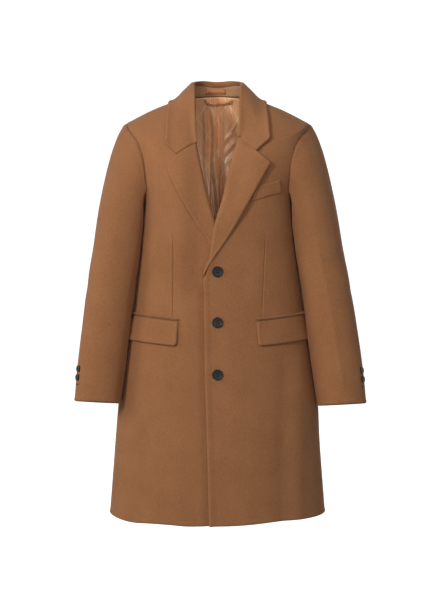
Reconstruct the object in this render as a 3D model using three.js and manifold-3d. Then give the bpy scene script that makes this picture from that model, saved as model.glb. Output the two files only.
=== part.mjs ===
// A single-breasted wool overcoat, filled out as it is worn, with nobody in it.
// Millimetres, +Z up, the front faces -Y, and +X is the wearer's left.
// The origin is where the shoulders and neck would carry the coat.
// The body is one smooth surface of rings. Every panel is a patch of that surface
// with a wall, and what is sewn onto a panel is a patch moved out from it.
import * as THREE from 'three';
import { mergeVertices } from 'three/addons/utils/BufferGeometryUtils.js';
import Module from 'manifold-3d';

const wasm = await Module();
wasm.setup();

// Cloth and gaps
const WALL = 3;            // wool with its interlining
const DOUBLE = 3.6;        // lapel and collar, two layers pressed together
const FLAP_WALL = 3;
const LINING_WALL = 1;
const GAP = 0.3;           // between pieces that are sewn together
const LAPEL_LIFT = 0.9;    // a lapel stands this far off its front

// Angles round the body, in degrees from the centre front
const SIDE = 90;
const BACK = 180;

// Levels on the ring table where the form turns
const HEM = -955;
const TIP = -110;          // ring that runs over the ends of the shoulders
const NECK = 0;

const bodyRings = table(
  ['level', 'zFront', 'zSide', 'zBack', 'half', 'front', 'back', 'square'], [
    [HEM, -961, -948, -951, 247, 142, 141, 2.25],
    [-830, -833, -829, -829, 238, 140, 139, 2.25],
    [-705, -706, -704, -704, 228, 137, 138, 2.3],
    [-600, -600, -600, -600, 217, 133, 135, 2.3],
    [-510, -510, -510, -510, 204, 127, 123, 2.35],
    [-430, -430, -430, -430, 192, 123, 108, 2.4],
    [-350, -350, -350, -350, 181, 124, 110, 2.5],
    [-290, -291, -290, -290, 175, 127, 119, 2.6],
    [-230, -234, -230, -228, 172, 127, 126, 2.7],
    [-170, -188, -142, -165, 192, 121, 127, 2.6],
    [TIP, -143, -57, -104, 208, 108, 119, 2.5],
    [-55, -101, -28, -46, 152, 90, 99, 2.3],
    [NECK, -62, 6, 15, 76, 66, 66, 2.05],
    [38, -30, 38, 53, 54, 46, 58, 2],
  ]);
const KINKED = ['half', 'zSide'];   // these columns turn sharply at the shoulder tip

// Edge of each front and its roll line, seen from the front. out is measured from
// the centre towards the front's own side.
const overEdge = table(['z', 'out'], [
  [-961, -19], [-800, -23], [-640, -28], [-440, -31], [-416, -32], [-390, -28],
  [-374, -19], [-330, -13], [-292, -5], [-247, 9], [-190, 22], [-134, 36], [-102, 44],
]);
const underEdge = table(['z', 'out'], [
  [-961, -30], [-800, -30], [-640, -30], [-440, -30], [-416, -29], [-380, -21],
  [-335, -10], [-292, 4], [-247, 17.5], [-179, 33.5], [-111, 45],
]);

// Lapels: roll line against outer edge, from the top button up to the gorge
const overLapel = {
  rows: table(['z', 'edgeOut', 'edgeZ'], [
    [-412, -27, -403], [-374, -8, -373], [-330, 20, -332], [-292, 43, -294],
    [-247, 64, -255], [-190, 84, -218], [-134, 103, -183], [-102, 116, -161],
  ]),
  gorge: { out: 45, z: -102 },
  notch: { out: 85, z: -133 },
  tip: { out: 116, z: -161 },
  collarTip: { out: 117, z: -107 },
};
const underLapel = {
  rows: table(['z', 'edgeOut', 'edgeZ'], [
    [-400, -16, -392], [-370, -4, -368], [-335, 17, -338], [-292, 45, -300],
    [-247, 66, -263], [-179, 90, -222], [-140, 104, -191], [-111, 113, -167],
  ]),
  gorge: { out: 45, z: -111 },
  notch: { out: 88, z: -141 },
  tip: { out: 113, z: -167 },
  collarTip: { out: 116, z: -116 },
};

const fronts = [
  { name: 'left', side: 1, edge: overEdge, lapel: overLapel, under: false },
  { name: 'right', side: -1, edge: underEdge, lapel: underLapel, under: true },
];

// Armhole, as seen from the front and from the back, from the shoulder tip down
const armholeFront = table(['turn', 'out', 'z'], [
  [18, 205, -70], [42, 185, -101], [64, 171, -132], [86, 164, -167],
  [108, 161, -198], [130, 161, -221],
]);
const armholeBack = table(['turn', 'out', 'z'], [
  [18, 205, -70], [42, 192, -99], [64, 182, -132], [86, 176, -167],
  [108, 171, -198], [130, 167, -221],
]);
const ARMHOLE_BOTTOM = -232;

// Sleeve sections from the cuff up to the upper arm
const sleeveRings = table(
  ['z', 'out', 'y', 'half', 'depth', 'turned', 'square'], [
    [-691, 270.5, -66, 51, 47, 6, 2.2],
    [-626, 263.5, -63, 53, 50, 8, 2.2],
    [-511, 249.7, -54, 53.5, 56, 9, 2.3],
    [-411, 236.5, -42, 54, 62, 10, 2.35],
    [-339, 226.5, -33, 54, 67, 11, 2.4],
    [-290, 219.7, -28, 54, 70, 12, 2.4],
  ]);
const CUFF_SLOPE = 0.15;       // outer side of a section is higher
const FORWARD_SLOPE = 0.095;   // and so is its front
const LEFT_SWING = 9;          // the wearer's left cuff hangs further out
const SLEEVE_CLEAR = 1.6;
const CAP_SHARE = 0.42;        // share of the sleeve's length above the upper arm

// Collar: fold and outer edge from the centre back round to the gorge
const collarRows = table(
  ['w', 'foldX', 'foldY', 'foldZ', 'edgeX', 'edgeY', 'edgeZ'], [
    [0, 0, 58, 48, 0, 86, -12],
    [0.22, 34, 49, 50, 62, 76, -14],
    [0.45, 53.5, 10, 39, 111, 10, -8],
    [0.62, 53, -24, 21, 119, -44, -34],
    [0.8, 50, -60, -30, 118, -80, -70],
  ]);
const NECK_POINT_W = 0.45;

const colours = {
  wool: 0x96673f, collar: 0x9a6a42, lining: 0xa87a56, label: 0x99653f, button: 0x17181c,
};

function table(names, rows) {
  return rows.map((row) => Object.fromEntries(names.map((name, i) => [name, row[i]])));
}

function lerp(a, b, t) {
  return a + (b - a) * t;
}

function clamp01(t) {
  return Math.min(1, Math.max(0, t));
}

function smooth(from, to, x) {
  const t = clamp01((x - from) / (to - from));
  return t * t * (3 - 2 * t);
}

function steps(from, to, count) {
  return Array.from({ length: count + 1 }, (_, i) => lerp(from, to, i / count));
}

// Smooth value of one column of a table, with an optional row where it is kinked
function along(rows, key, column, at, kink = null) {
  let i = 0;
  while (i < rows.length - 2 && at > rows[i + 1][key]) i += 1;
  const slope = (j, goingUp) => {
    const kinked = rows[j][key] === kink;
    const before = j === 0 || (kinked && goingUp) ? rows[j] : rows[j - 1];
    const after = j === rows.length - 1 || (kinked && !goingUp) ? rows[j] : rows[j + 1];
    return (after[column] - before[column]) / (after[key] - before[key]);
  };
  const [a, b] = [rows[i], rows[i + 1]];
  const span = b[key] - a[key];
  const t = (at - a[key]) / span;
  const [t2, t3] = [t * t, t * t * t];
  return a[column] * (2 * t3 - 3 * t2 + 1) + slope(i, true) * span * (t3 - 2 * t2 + t)
    + b[column] * (3 * t2 - 2 * t3) + slope(i + 1, false) * span * (t3 - t2);
}

const ringCache = new Map();

function bodyRing(level) {
  if (!ringCache.has(level)) {
    const ring = {};
    for (const column of ['zFront', 'zSide', 'zBack', 'half', 'front', 'back', 'square']) {
      ring[column] = along(bodyRings, 'level', column, level, KINKED.includes(column) ? TIP : null);
    }
    ringCache.set(level, ring);
  }
  return ringCache.get(level);
}

// Point of the body's surface. The angle is negative on the wearer's right.
function bodyPoint(angle, level) {
  const ring = bodyRing(level);
  const radians = angle * THREE.MathUtils.DEG2RAD;
  const [s, c] = [Math.sin(radians), Math.cos(radians)];
  const n = ring.square;
  const reach = (Math.abs(s) ** n + Math.abs(c) ** n) ** (-1 / n);
  const depth = c > 0 ? ring.front : ring.back;
  const zEnd = c > 0 ? ring.zFront : ring.zBack;
  return new THREE.Vector3(reach * s * ring.half, -reach * c * depth, lerp(zEnd, ring.zSide, s * s));
}

function bodyNormal(angle, level) {
  const [turn, rise] = [0.2, 0.5];
  const across = bodyPoint(angle + turn, level).sub(bodyPoint(angle - turn, level));
  const up = bodyPoint(angle, level + rise).sub(bodyPoint(angle, level - rise));
  return across.cross(up).normalize();
}

// Angle at which a ring is this far out from the centre
function angleAt(out, level, onBack = false) {
  const ring = bodyRing(level);
  const k = THREE.MathUtils.clamp(out / ring.half, -0.9995, 0.9995);
  const n = ring.square;
  const angle = Math.atan2(k, (1 - Math.abs(k) ** n) ** (1 / n)) * THREE.MathUtils.RAD2DEG;
  return onBack ? BACK - angle : angle;
}

// Angle and level of the surface point seen at this distance out and this height
function locate(out, z, onBack = false) {
  let level = z;
  let angle = 0;
  for (let i = 0; i < 60; i += 1) {
    level = Math.min(level, NECK);
    angle = angleAt(out, level, onBack);
    level += 0.7 * (z - bodyPoint(angle, level).z);
  }
  return { angle, level: Math.min(level, NECK) };
}

// Outer face of a front. The under front lies behind the over front at the middle.
function lapDepth(front, point) {
  if (!front.under) return 0;
  const out = point.x * front.side;
  const lapelRoom = (DOUBLE + LAPEL_LIFT + 2 * GAP) * smooth(-475, -425, point.z);
  return (WALL + GAP + lapelRoom) * (1 - smooth(38, 86, out));
}

function frontSpot(front, angle, level, lift = 0) {
  const point = bodyPoint(angle * front.side, level);
  const normal = bodyNormal(angle * front.side, level);
  return { point: point.addScaledVector(normal, lift - lapDepth(front, point)), normal };
}

function bodySpot(angle, level, lift = 0) {
  const normal = bodyNormal(angle, level);
  return { point: bodyPoint(angle, level).addScaledVector(normal, lift), normal };
}

// Moves the rim of a grid of points inwards, so that neighbours stay apart
function inset(grid, amount) {
  const pull = (point, towards) => {
    const way = towards.clone().sub(point);
    point.addScaledVector(way, amount / way.length());
  };
  const last = grid.length - 1;
  for (const row of grid) {
    const end = row.length - 1;
    pull(row[0], row[1]);
    pull(row[end], row[end - 1]);
  }
  grid[0].forEach((point, i) => pull(point, grid[1][i]));
  grid[last].forEach((point, i) => pull(point, grid[last - 1][i]));
  return grid;
}

// Closed solid between two grids of points
function solidBetween(outer, inner) {
  const [rows, columns] = [outer.length, outer[0].length];
  const position = [];
  const index = [];
  for (const grid of [outer, inner]) {
    for (const row of grid) row.forEach((p) => position.push(p.x, p.y, p.z));
  }
  const at = (layer, i, j) => (layer * rows + i) * columns + j;
  const quad = (a, b, c, d) => index.push(a, b, c, a, c, d);
  for (let i = 0; i < rows - 1; i += 1) {
    for (let j = 0; j < columns - 1; j += 1) {
      quad(at(0, i, j), at(0, i, j + 1), at(0, i + 1, j + 1), at(0, i + 1, j));
      quad(at(1, i, j), at(1, i + 1, j), at(1, i + 1, j + 1), at(1, i, j + 1));
    }
    const end = columns - 1;
    quad(at(0, i, 0), at(0, i + 1, 0), at(1, i + 1, 0), at(1, i, 0));
    quad(at(0, i, end), at(1, i, end), at(1, i + 1, end), at(0, i + 1, end));
  }
  for (let j = 0; j < columns - 1; j += 1) {
    const top = rows - 1;
    quad(at(0, 0, j), at(1, 0, j), at(1, 0, j + 1), at(0, 0, j + 1));
    quad(at(0, top, j), at(0, top, j + 1), at(1, top, j + 1), at(1, top, j));
  }
  const geometry = new THREE.BufferGeometry();
  geometry.setAttribute('position', new THREE.Float32BufferAttribute(position, 3));
  geometry.setIndex(index);
  return outward(geometry);
}

// Turns the faces over if the mesh is inside out
function outward(geometry) {
  const position = geometry.attributes.position;
  const index = geometry.index.array;
  const [a, b, c] = [new THREE.Vector3(), new THREE.Vector3(), new THREE.Vector3()];
  let volume = 0;
  for (let i = 0; i < index.length; i += 3) {
    a.fromBufferAttribute(position, index[i]);
    b.fromBufferAttribute(position, index[i + 1]);
    c.fromBufferAttribute(position, index[i + 2]);
    volume += a.dot(b.cross(c));
  }
  if (volume < 0) {
    for (let i = 0; i < index.length; i += 3) [index[i], index[i + 1]] = [index[i + 1], index[i]];
  }
  return geometry;
}

// Wall of cloth under a grid of spots, each a point with its normal
function wall(spots, thickness, rim = GAP / 2) {
  const outer = spots.map((row) => row.map((spot) => spot.point.clone()));
  const inner = spots.map((row) => row.map((spot) => (
    spot.point.clone().addScaledVector(spot.normal, -(spot.thick ?? thickness)))));
  return solidBetween(inset(outer, rim), inset(inner, rim));
}

// Normals of a grid of points, for pieces that leave the body's surface
function withNormals(points, turn = 1) {
  return points.map((row, i) => row.map((point, j) => {
    const up = points[Math.min(i + 1, points.length - 1)][j].clone()
      .sub(points[Math.max(i - 1, 0)][j]);
    const across = row[Math.min(j + 1, row.length - 1)].clone().sub(row[Math.max(j - 1, 0)]);
    return { point, normal: across.cross(up).multiplyScalar(turn).normalize() };
  }));
}

// Armhole, all the way round: 0 at the shoulder tip, 90 in front, 180 underarm
const armhole = armholeTable();

function armholeTable() {
  const rows = [{ turn: 0, angle: SIDE, level: TIP }];
  for (const row of armholeFront) rows.push({ turn: row.turn, ...locate(row.out, row.z) });
  rows.push({ turn: 155, angle: 76, level: ARMHOLE_BOTTOM + 2.5 });
  rows.push({ turn: 180, angle: SIDE, level: ARMHOLE_BOTTOM });
  rows.push({ turn: 205, angle: 104, level: ARMHOLE_BOTTOM + 2.5 });
  for (const row of [...armholeBack].reverse()) {
    rows.push({ turn: 360 - row.turn, ...locate(row.out, row.z, true) });
  }
  const wrap = (row, by) => ({ ...row, turn: row.turn + by });
  const first = rows.slice(0, 3);
  const last = rows.slice(-4);
  return [...last.map((row) => wrap(row, -360)), ...rows, ...first.map((row) => wrap(row, 360))];
}

function armholeAt(turn) {
  return { angle: along(armhole, 'turn', 'angle', turn), level: along(armhole, 'turn', 'level', turn) };
}

// Places on the armhole. Panels and sleeves share points this many degrees apart.
const TURN_STEP = 18;
const FRONT_TURN = 144;        // the side panel's seam with the front
const BACK_TURN = 216;         // and with the back
const FRONT_SEAM = armholeAt(FRONT_TURN).angle;
const BACK_SEAM = armholeAt(BACK_TURN).angle;

// Neckline of a front, from the gorge at 0 to the neck point at 1
function necklineAt(front, share) {
  const gorge = locate(front.lapel.gorge.out, front.lapel.gorge.z);
  return { angle: lerp(gorge.angle, SIDE, share), level: gorge.level * (1 - share) ** 3 };
}

const BODY_ROWS = 17;
const YOKE_ROWS = FRONT_TURN / TURN_STEP;
const NECK_FROM = 0.5;         // share of the yoke rows that end on the front edge
const ROLL_SET_BACK = 5;       // a front stops this far inside the fold of its lapel

function frontPanel(front) {
  const corner = armholeAt(FRONT_TURN);
  const gorge = locate(front.lapel.gorge.out, front.lapel.gorge.z);
  const edgeAt = (level) => {
    const out = along(front.edge, 'z', 'out', Math.min(level, front.lapel.gorge.z));
    return { angle: angleAt(out + ROLL_SET_BACK * smooth(-425, -395, level), level), level };
  };
  const rows = steps(HEM, corner.level, BODY_ROWS)
    .map((level) => ({ inner: edgeAt(level), outer: { angle: FRONT_SEAM, level } }));
  for (let i = 1; i <= YOKE_ROWS; i += 1) {
    const t = i / YOKE_ROWS;
    const inner = t <= NECK_FROM
      ? edgeAt(lerp(corner.level, gorge.level, t / NECK_FROM))
      : necklineAt(front, (t - NECK_FROM) / (1 - NECK_FROM));
    rows.push({ inner, outer: armholeAt(lerp(FRONT_TURN, 0, t)) });
  }
  const spots = rows.map(({ inner, outer }) => steps(0, 1, 9).map((q) => (
    frontSpot(front, lerp(inner.angle, outer.angle, q), lerp(inner.level, outer.level, q)))));
  return wall(spots, WALL);
}

function sidePanel(side) {
  const columns = steps(FRONT_TURN, BACK_TURN, (BACK_TURN - FRONT_TURN) / TURN_STEP).map(armholeAt);
  const spots = steps(0, 1, 17).map((t) => columns.map((column) => (
    bodySpot(side * column.angle, lerp(HEM, column.level, t)))));
  return wall(spots, WALL);
}

function backPanel(side) {
  const corner = armholeAt(BACK_TURN);
  const rows = steps(HEM, corner.level, BODY_ROWS)
    .map((level) => ({ inner: { angle: BACK, level }, outer: { angle: BACK_SEAM, level } }));
  for (let i = 1; i <= YOKE_ROWS; i += 1) {
    const t = i / YOKE_ROWS;
    const inner = t <= NECK_FROM
      ? { angle: BACK, level: lerp(corner.level, NECK, t / NECK_FROM) }
      : { angle: lerp(BACK, SIDE, (t - NECK_FROM) / (1 - NECK_FROM)), level: NECK };
    rows.push({ inner, outer: armholeAt(lerp(BACK_TURN, 360, t)) });
  }
  const spots = rows.map(({ inner, outer }) => steps(0, 1, 7).map((q) => (
    bodySpot(side * lerp(inner.angle, outer.angle, q), lerp(inner.level, outer.level, q)))));
  return wall(spots, WALL);
}

// Keeps a sleeve just clear of the body and of the pocket flap beside it
function clearOfBody(point, side) {
  if (point.z > ARMHOLE_BOTTOM + 6) return point;
  const ring = bodyRing(point.z);
  const depth = point.y < 0 ? ring.front : ring.back;
  const share = Math.abs(point.y) / depth;
  if (share >= 1) return point;
  const flapRoom = 4.5 * smooth(-610, -575, point.z) * (1 - smooth(-495, -460, point.z));
  const nearest = ring.half * (1 - share ** ring.square) ** (1 / ring.square) + SLEEVE_CLEAR + flapRoom;
  const out = point.x * side;
  const soft = 5;
  const blend = Math.max(soft - Math.abs(out - nearest), 0);
  point.x = side * (Math.max(out, nearest) + (blend * blend) / (4 * soft));
  return point;
}

// Section of the arm of the sleeve. 0 is outermost, 90 front, 180 next to the body.
function armPoint(side, z, turn) {
  const value = (column) => along(sleeveRings, 'z', column, z);
  const radians = turn * THREE.MathUtils.DEG2RAD;
  const [s, c] = [Math.sin(radians), Math.cos(radians)];
  const n = value('square');
  const reach = (Math.abs(s) ** n + Math.abs(c) ** n) ** (-1 / n);
  const turned = value('turned') * THREE.MathUtils.DEG2RAD;
  const [out, ahead] = [reach * c * value('half'), reach * s * value('depth')];
  const outward = out * Math.cos(turned) - ahead * Math.sin(turned);
  const forward = ahead * Math.cos(turned) + out * Math.sin(turned);
  const swing = side > 0 ? LEFT_SWING * smooth(-230, -700, z) : 0;
  return new THREE.Vector3(
    side * (value('out') + swing + outward),
    value('y') - forward,
    z + CUFF_SLOPE * outward + FORWARD_SLOPE * forward,
  );
}

// First point of the sleeve at the armhole and the way in which it sets off
function capStart(side, turn) {
  const { angle, level } = armholeAt(turn);
  const onBody = bodyPoint(side * angle, level);
  const normal = bodyNormal(side * angle, level);
  const rimPoint = (place) => bodyPoint(side * place.angle, place.level);
  const rim = rimPoint(armholeAt(turn + 1)).sub(rimPoint(armholeAt(turn - 1))).normalize();
  const top = (1 + Math.cos(turn * THREE.MathUtils.DEG2RAD)) / 2;
  const way = new THREE.Vector3(
    side * lerp(0.3, 0.88, top),
    -0.35 * Math.sin(turn * THREE.MathUtils.DEG2RAD),
    -lerp(0.95, 0.46, top),
  ).normalize();
  const across = normal.clone().cross(rim).normalize();
  const hole = new THREE.Vector3(side * 195, 5, -150).sub(onBody);
  if (across.dot(hole) < 0) across.negate();
  const facing = way.clone().cross(rim).normalize();
  if (facing.dot(hole) > 0) facing.negate();
  const leaves = smooth(-0.1, 0.3, way.dot(across));
  const apart = GAP + WALL * Math.max(0, facing.dot(across));
  const start = onBody.addScaledVector(across, apart * leaves)
    .addScaledVector(normal, 2 * GAP * (1 - leaves));
  return { start, way };
}

const UPPER_ARM = sleeveRings[sleeveRings.length - 1].z;
const CUFF = sleeveRings[0].z;

// Point of a sleeve: 0 at the cuff, 1 at the armhole
function sleevePoint(side, share, turn) {
  if (share <= 1 - CAP_SHARE) {
    const z = lerp(CUFF, UPPER_ARM, share / (1 - CAP_SHARE));
    return clearOfBody(armPoint(side, z, turn), side);
  }
  const t = (1 - share) / CAP_SHARE;
  const { start, way } = capStart(side, turn);
  const end = armPoint(side, UPPER_ARM, turn);
  const down = armPoint(side, UPPER_ARM - 1, turn).sub(end).normalize();
  const length = end.distanceTo(start);
  const [t2, t3] = [t * t, t * t * t];
  const point = start.multiplyScalar(2 * t3 - 3 * t2 + 1)
    .addScaledVector(way, 0.44 * length * (t3 - 2 * t2 + t))
    .addScaledVector(end, 3 * t2 - 2 * t3)
    .addScaledVector(down, 1.02 * length * (t3 - t2));
  return clearOfBody(point, side);
}

const FRONT_ARM_SEAM = 126;
const hindSeam = (share) => lerp(8, -52, smooth(0.12, 1, share));

function sleeveSpot(side, share, turn, lift = 0) {
  const [rise, round] = [0.002, 0.5];
  const up = sleevePoint(side, Math.min(1, share + rise), turn)
    .sub(sleevePoint(side, Math.max(0, share - rise), turn));
  const across = sleevePoint(side, share, turn + round).sub(sleevePoint(side, share, turn - round));
  const normal = across.cross(up).multiplyScalar(-side).normalize();
  return { point: sleevePoint(side, share, turn).addScaledVector(normal, lift), normal };
}

function sleevePiece(side, seams, columns) {
  const shares = [...steps(0, 1 - CAP_SHARE, 8), ...steps(1 - CAP_SHARE, 1, 10).slice(1)];
  const spots = shares.map((share) => {
    const [from, to] = seams(share);
    return steps(from, to, columns).map((turn) => sleeveSpot(side, share, turn));
  });
  return wall(spots, WALL);
}

const topSleeve = (side) => sleevePiece(side, (share) => [hindSeam(share), FRONT_ARM_SEAM], 10);
const underSleeve = (side) => (
  sleevePiece(side, (share) => [FRONT_ARM_SEAM, 360 + hindSeam(share)], 10));

// Grid between a roll line and an outer edge whose far end is bent to two corners
function bentEnd(rollAt, edgeAt, bend, rows, columns, bendFrom) {
  const [rollEnd, edgeEnd] = [rollAt(1), edgeAt(1)];
  return rows.map((t) => columns.map((q) => {
    const straight = rollAt(t).clone().lerp(edgeAt(t), q);
    const target = q < bend.share
      ? rollEnd.clone().lerp(bend.corner, q / bend.share)
      : bend.corner.clone().lerp(edgeEnd, (q - bend.share) / (1 - bend.share));
    const shift = target.sub(rollEnd.clone().lerp(edgeEnd, q));
    return straight.addScaledVector(shift, smooth(bendFrom, 1, t));
  }));
}

const NOTCH_SHARE = 0.56;
const ROLL_BACK = 3.2;         // the fold of the lapel before it lies on the front
const LAPEL_BELLY = 2.2;

// A lapel, turned back along the roll line and lying on its front
function lapelPiece(front) {
  const { rows, gorge, notch, tip } = front.lapel;
  const roll = (t) => {
    const z = lerp(rows[0].z, gorge.z, t);
    return new THREE.Vector2(along(front.edge, 'z', 'out', z), z);
  };
  const edge = (t) => {
    const z = lerp(rows[0].z, rows[rows.length - 1].z, t);
    return new THREE.Vector2(along(rows, 'z', 'edgeOut', z), along(rows, 'z', 'edgeZ', z));
  };
  const bend = { share: NOTCH_SHARE, corner: new THREE.Vector2(notch.out, notch.z) };
  const columns = [0, 0.06, 0.2, 0.38, NOTCH_SHARE, 0.78, 1];
  const plan = bentEnd(roll, edge, bend, steps(0, 1, 13), columns, 0.8);
  plan[plan.length - 1][columns.length - 1].set(tip.out, tip.z);
  const layer = (liftAt) => plan.map((row) => row.map((place, j) => {
    const { angle, level } = locate(place.x, place.y);
    const fromRoll = Math.hypot(place.x - row[0].x, place.y - row[0].y);
    const belly = LAPEL_BELLY * Math.sin(Math.PI * columns[j]) * smooth(-330, -250, place.y);
    return frontSpot(front, angle, level, belly + liftAt(fromRoll)).point;
  }));
  const lower = layer((away) => lerp(-WALL, LAPEL_LIFT, smooth(0, ROLL_BACK, away)));
  const upper = layer((away) => lerp(-0.6, LAPEL_LIFT + DOUBLE, smooth(-1, 5, away)));
  return solidBetween(inset(upper, GAP / 2), inset(lower, GAP / 2));
}

// Nearest place on the body to a point, from a coarse look and then a finer one
function nearestPlace(point) {
  let best = { angle: SIDE, level: -60, far: Infinity };
  const look = (angles, levels) => {
    for (const angle of angles) {
      for (const level of levels) {
        const far = bodyPoint(angle, level).distanceToSquared(point);
        if (far < best.far) best = { angle, level, far };
      }
    }
  };
  const side = point.x < 0 ? -1 : 1;
  look(steps(0, BACK * side, 30), steps(-170, 30, 20));
  let [turn, rise] = [3, 5];
  while (turn > 0.02) {
    look(
      steps(best.angle - turn, best.angle + turn, 4),
      steps(best.level - rise, best.level + rise, 4),
    );
    turn *= 0.6;
    rise *= 0.6;
  }
  return best;
}

// Place on a front as seen from the front, with the collar's thickness
function laidOn(front, { out, z }) {
  const place = locate(out, z);
  return frontSpot(front, place.angle, place.level, GAP + DOUBLE).point;
}

// Collar lines at w, which runs from -1 on the wearer's right to 1 on the left
function collarLine(w, part) {
  const front = fronts[w < 0 ? 1 : 0];
  const share = Math.abs(w);
  const last = laidOn(front, part === 'fold' ? front.lapel.gorge : front.lapel.collarTip);
  const rows = [...collarRows, {
    w: 1, [`${part}X`]: Math.abs(last.x), [`${part}Y`]: last.y, [`${part}Z`]: last.z,
  }];
  const mirrored = { ...rows[1], w: -rows[1].w, [`${part}X`]: -rows[1][`${part}X`] };
  const value = (axis) => along([mirrored, ...rows], 'w', part + axis, share);
  return new THREE.Vector3(front.side * value('X'), value('Y'), value('Z'));
}

// Neck seam at w, on the edge of the fronts and backs
function neckSeam(w, lift = 0) {
  const front = fronts[w < 0 ? 1 : 0];
  const share = Math.abs(w);
  if (share <= NECK_POINT_W) {
    return bodySpot(front.side * lerp(BACK, SIDE, share / NECK_POINT_W), NECK, lift).point;
  }
  const place = necklineAt(front, (1 - share) / (1 - NECK_POINT_W));
  return frontSpot(front, place.angle, place.level, lift).point;
}

const collarTurns = steps(-1, 1, 28);
const STAND_COLUMNS = 2;
const COLLAR_LIFT = 1.2;
const COLLAR_WALL = 3;
const STAND_WALL = 2.4;
const COLLAR_SEAM = 14;        // below the fold, where the stand joins the fall
const FOLD_DROP = 5;
const FOLD_WIDTH = 9.6;
const CORNER_SHARE = 0.6;      // of the fall's width, where its end reaches the notch

// Bend of the collar's end at t from the fold, which makes it meet the lapel up to the notch
function endBend(w, t) {
  const front = fronts[w < 0 ? 1 : 0];
  const { gorge, notch, collarTip } = front.lapel;
  const [fold, corner, tip] = [gorge, notch, collarTip].map((place) => laidOn(front, place));
  const target = t < CORNER_SHARE
    ? fold.clone().lerp(corner, t / CORNER_SHARE)
    : corner.clone().lerp(tip, (t - CORNER_SHARE) / (1 - CORNER_SHARE));
  return target.sub(fold.lerp(tip, t)).multiplyScalar(smooth(0.8, 1, Math.abs(w)));
}

// Profile of the collar at w: up the stand, over the fold and down the fall
function collarProfile(w) {
  const fold = collarLine(w, 'fold');
  const edge = collarLine(w, 'edge');
  const foot = neckSeam(w);
  const up = fold.clone().sub(foot);
  const height = up.length();
  up.normalize();
  const outwards = edge.clone().sub(fold);
  outwards.addScaledVector(up, -outwards.dot(up)).normalize();
  const width = Math.min(FOLD_WIDTH, 2.5 + 0.3 * height);
  const drop = Math.min(FOLD_DROP, 0.5 * height);
  const seam = fold.clone().addScaledVector(up, -Math.min(COLLAR_SEAM, 0.85 * height));
  const before = fold.clone().addScaledVector(up, -drop);
  const after = before.clone().addScaledVector(outwards, width);
  const lift = (point) => point.clone().addScaledVector(up, drop / 0.75);
  const turnOver = new THREE.CubicBezierCurve3(before, lift(before), lift(after), after);
  const base = foot.clone().addScaledVector(up, Math.min(GAP * 2, 0.05 * height));
  const stand = steps(0, 1, STAND_COLUMNS).map((t) => base.clone().lerp(seam, t));
  const turned = turnOver.getPoints(4);
  const fall = steps(0, 1, 5).slice(1).map((t) => {
    const free = after.clone().lerp(edge, t).add(endBend(w, t));
    const place = nearestPlace(free);
    const laid = bodySpot(place.angle, place.level, COLLAR_LIFT + DOUBLE).point;
    return free.lerp(laid, Math.max(smooth(0.35, 1, t), smooth(0.75, 1, Math.abs(w))));
  });
  return { points: [...stand, ...turned, ...fall], turnWall: Math.min(COLLAR_WALL, 0.38 * width) };
}

const collarSpots = collarGrid();

function collarGrid() {
  const profiles = collarTurns.map(collarProfile);
  const spots = withNormals(profiles.map((profile) => profile.points), -1);
  spots.forEach((row, i) => row.slice(STAND_COLUMNS, STAND_COLUMNS + 6).forEach((spot) => {
    spot.thick = profiles[i].turnWall;
  }));
  return spots;
}

function collarFall() {
  return wall(collarSpots.map((row) => row.slice(STAND_COLUMNS)), COLLAR_WALL);
}

function collarStand() {
  const rows = collarSpots.filter((row, i) => Math.abs(collarTurns[i]) < 0.9);
  const bare = ({ point, normal }) => ({ point, normal });
  return wall(rows.map((row) => row.slice(0, STAND_COLUMNS + 1).map(bare)), STAND_WALL);
}

// Strip of the body's surface that starts at a place and runs round it level or slanted
function stripSpots(front, start, run, rise, columns, drops, liftAt) {
  const from = locate(start.out, start.z);
  const angles = [from.angle];
  const stepLength = run / columns;
  for (let i = 0; i < columns; i += 1) {
    let [angle, here] = [angles[i], bodyPoint(angles[i], from.level)];
    while (bodyPoint(angle, from.level).distanceTo(here) < stepLength) angle += 0.02;
    angles.push(angle);
  }
  return drops.map((drop, i) => angles.map((angle, j) => (
    frontSpot(front, angle, from.level + rise * j * stepLength - drop(j * stepLength), liftAt(i)))));
}

const FLAP = { out: 86, z: -511, length: 165, depth: 55, rise: 0.105, corner: 9 };
const JET = 8;

function flapPiece(front) {
  const { corner, length, depth } = FLAP;
  const rounded = (s) => {
    const inside = Math.max(0, corner - Math.min(s, length - s));
    return corner - Math.sqrt(Math.max(0, corner * corner - inside * inside));
  };
  const drops = [0, 0.35, 0.7, 1].map((t) => (s) => t * (depth - rounded(s)));
  const spots = stripSpots(front, FLAP, length, FLAP.rise, 12, drops, (i) => GAP + FLAP_WALL + 0.5 * i);
  return wall(spots, FLAP_WALL);
}

function jetPiece(front) {
  const drops = [() => -JET, () => -GAP];
  const spots = stripSpots(front, FLAP, FLAP.length, FLAP.rise, 12, drops, () => GAP + 1.4);
  return wall(spots, 1.4);
}

const WELT = [
  { out: 88, z: -211.7 }, { out: 138, z: -195.5 }, { out: 70, z: -247 }, { out: 141, z: -224 },
];
const WELT_WALL = 2.4;

function chestWelt() {
  const [topIn, topOut, lowIn, lowOut] = WELT;
  const spots = steps(0, 1, 2).map((down) => steps(0, 1, 5).map((over) => {
    const out = lerp(lerp(topIn.out, topOut.out, over), lerp(lowIn.out, lowOut.out, over), down);
    const z = lerp(lerp(topIn.z, topOut.z, over), lerp(lowIn.z, lowOut.z, over), down);
    const { angle, level } = locate(out, z);
    return frontSpot(fronts[0], angle, level, GAP + WELT_WALL);
  }));
  return wall(spots, WELT_WALL);
}

// Lining of the back, from just above the hem to the neck, with its centre pleat
const LINING_HEM = -915;
const LINING_AWAY = 2.6;      // it hangs off the back, and is sewn in at the neck
const LINING_SEWN = 1.5;
const PLEAT_DEPTH = 5;

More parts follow.
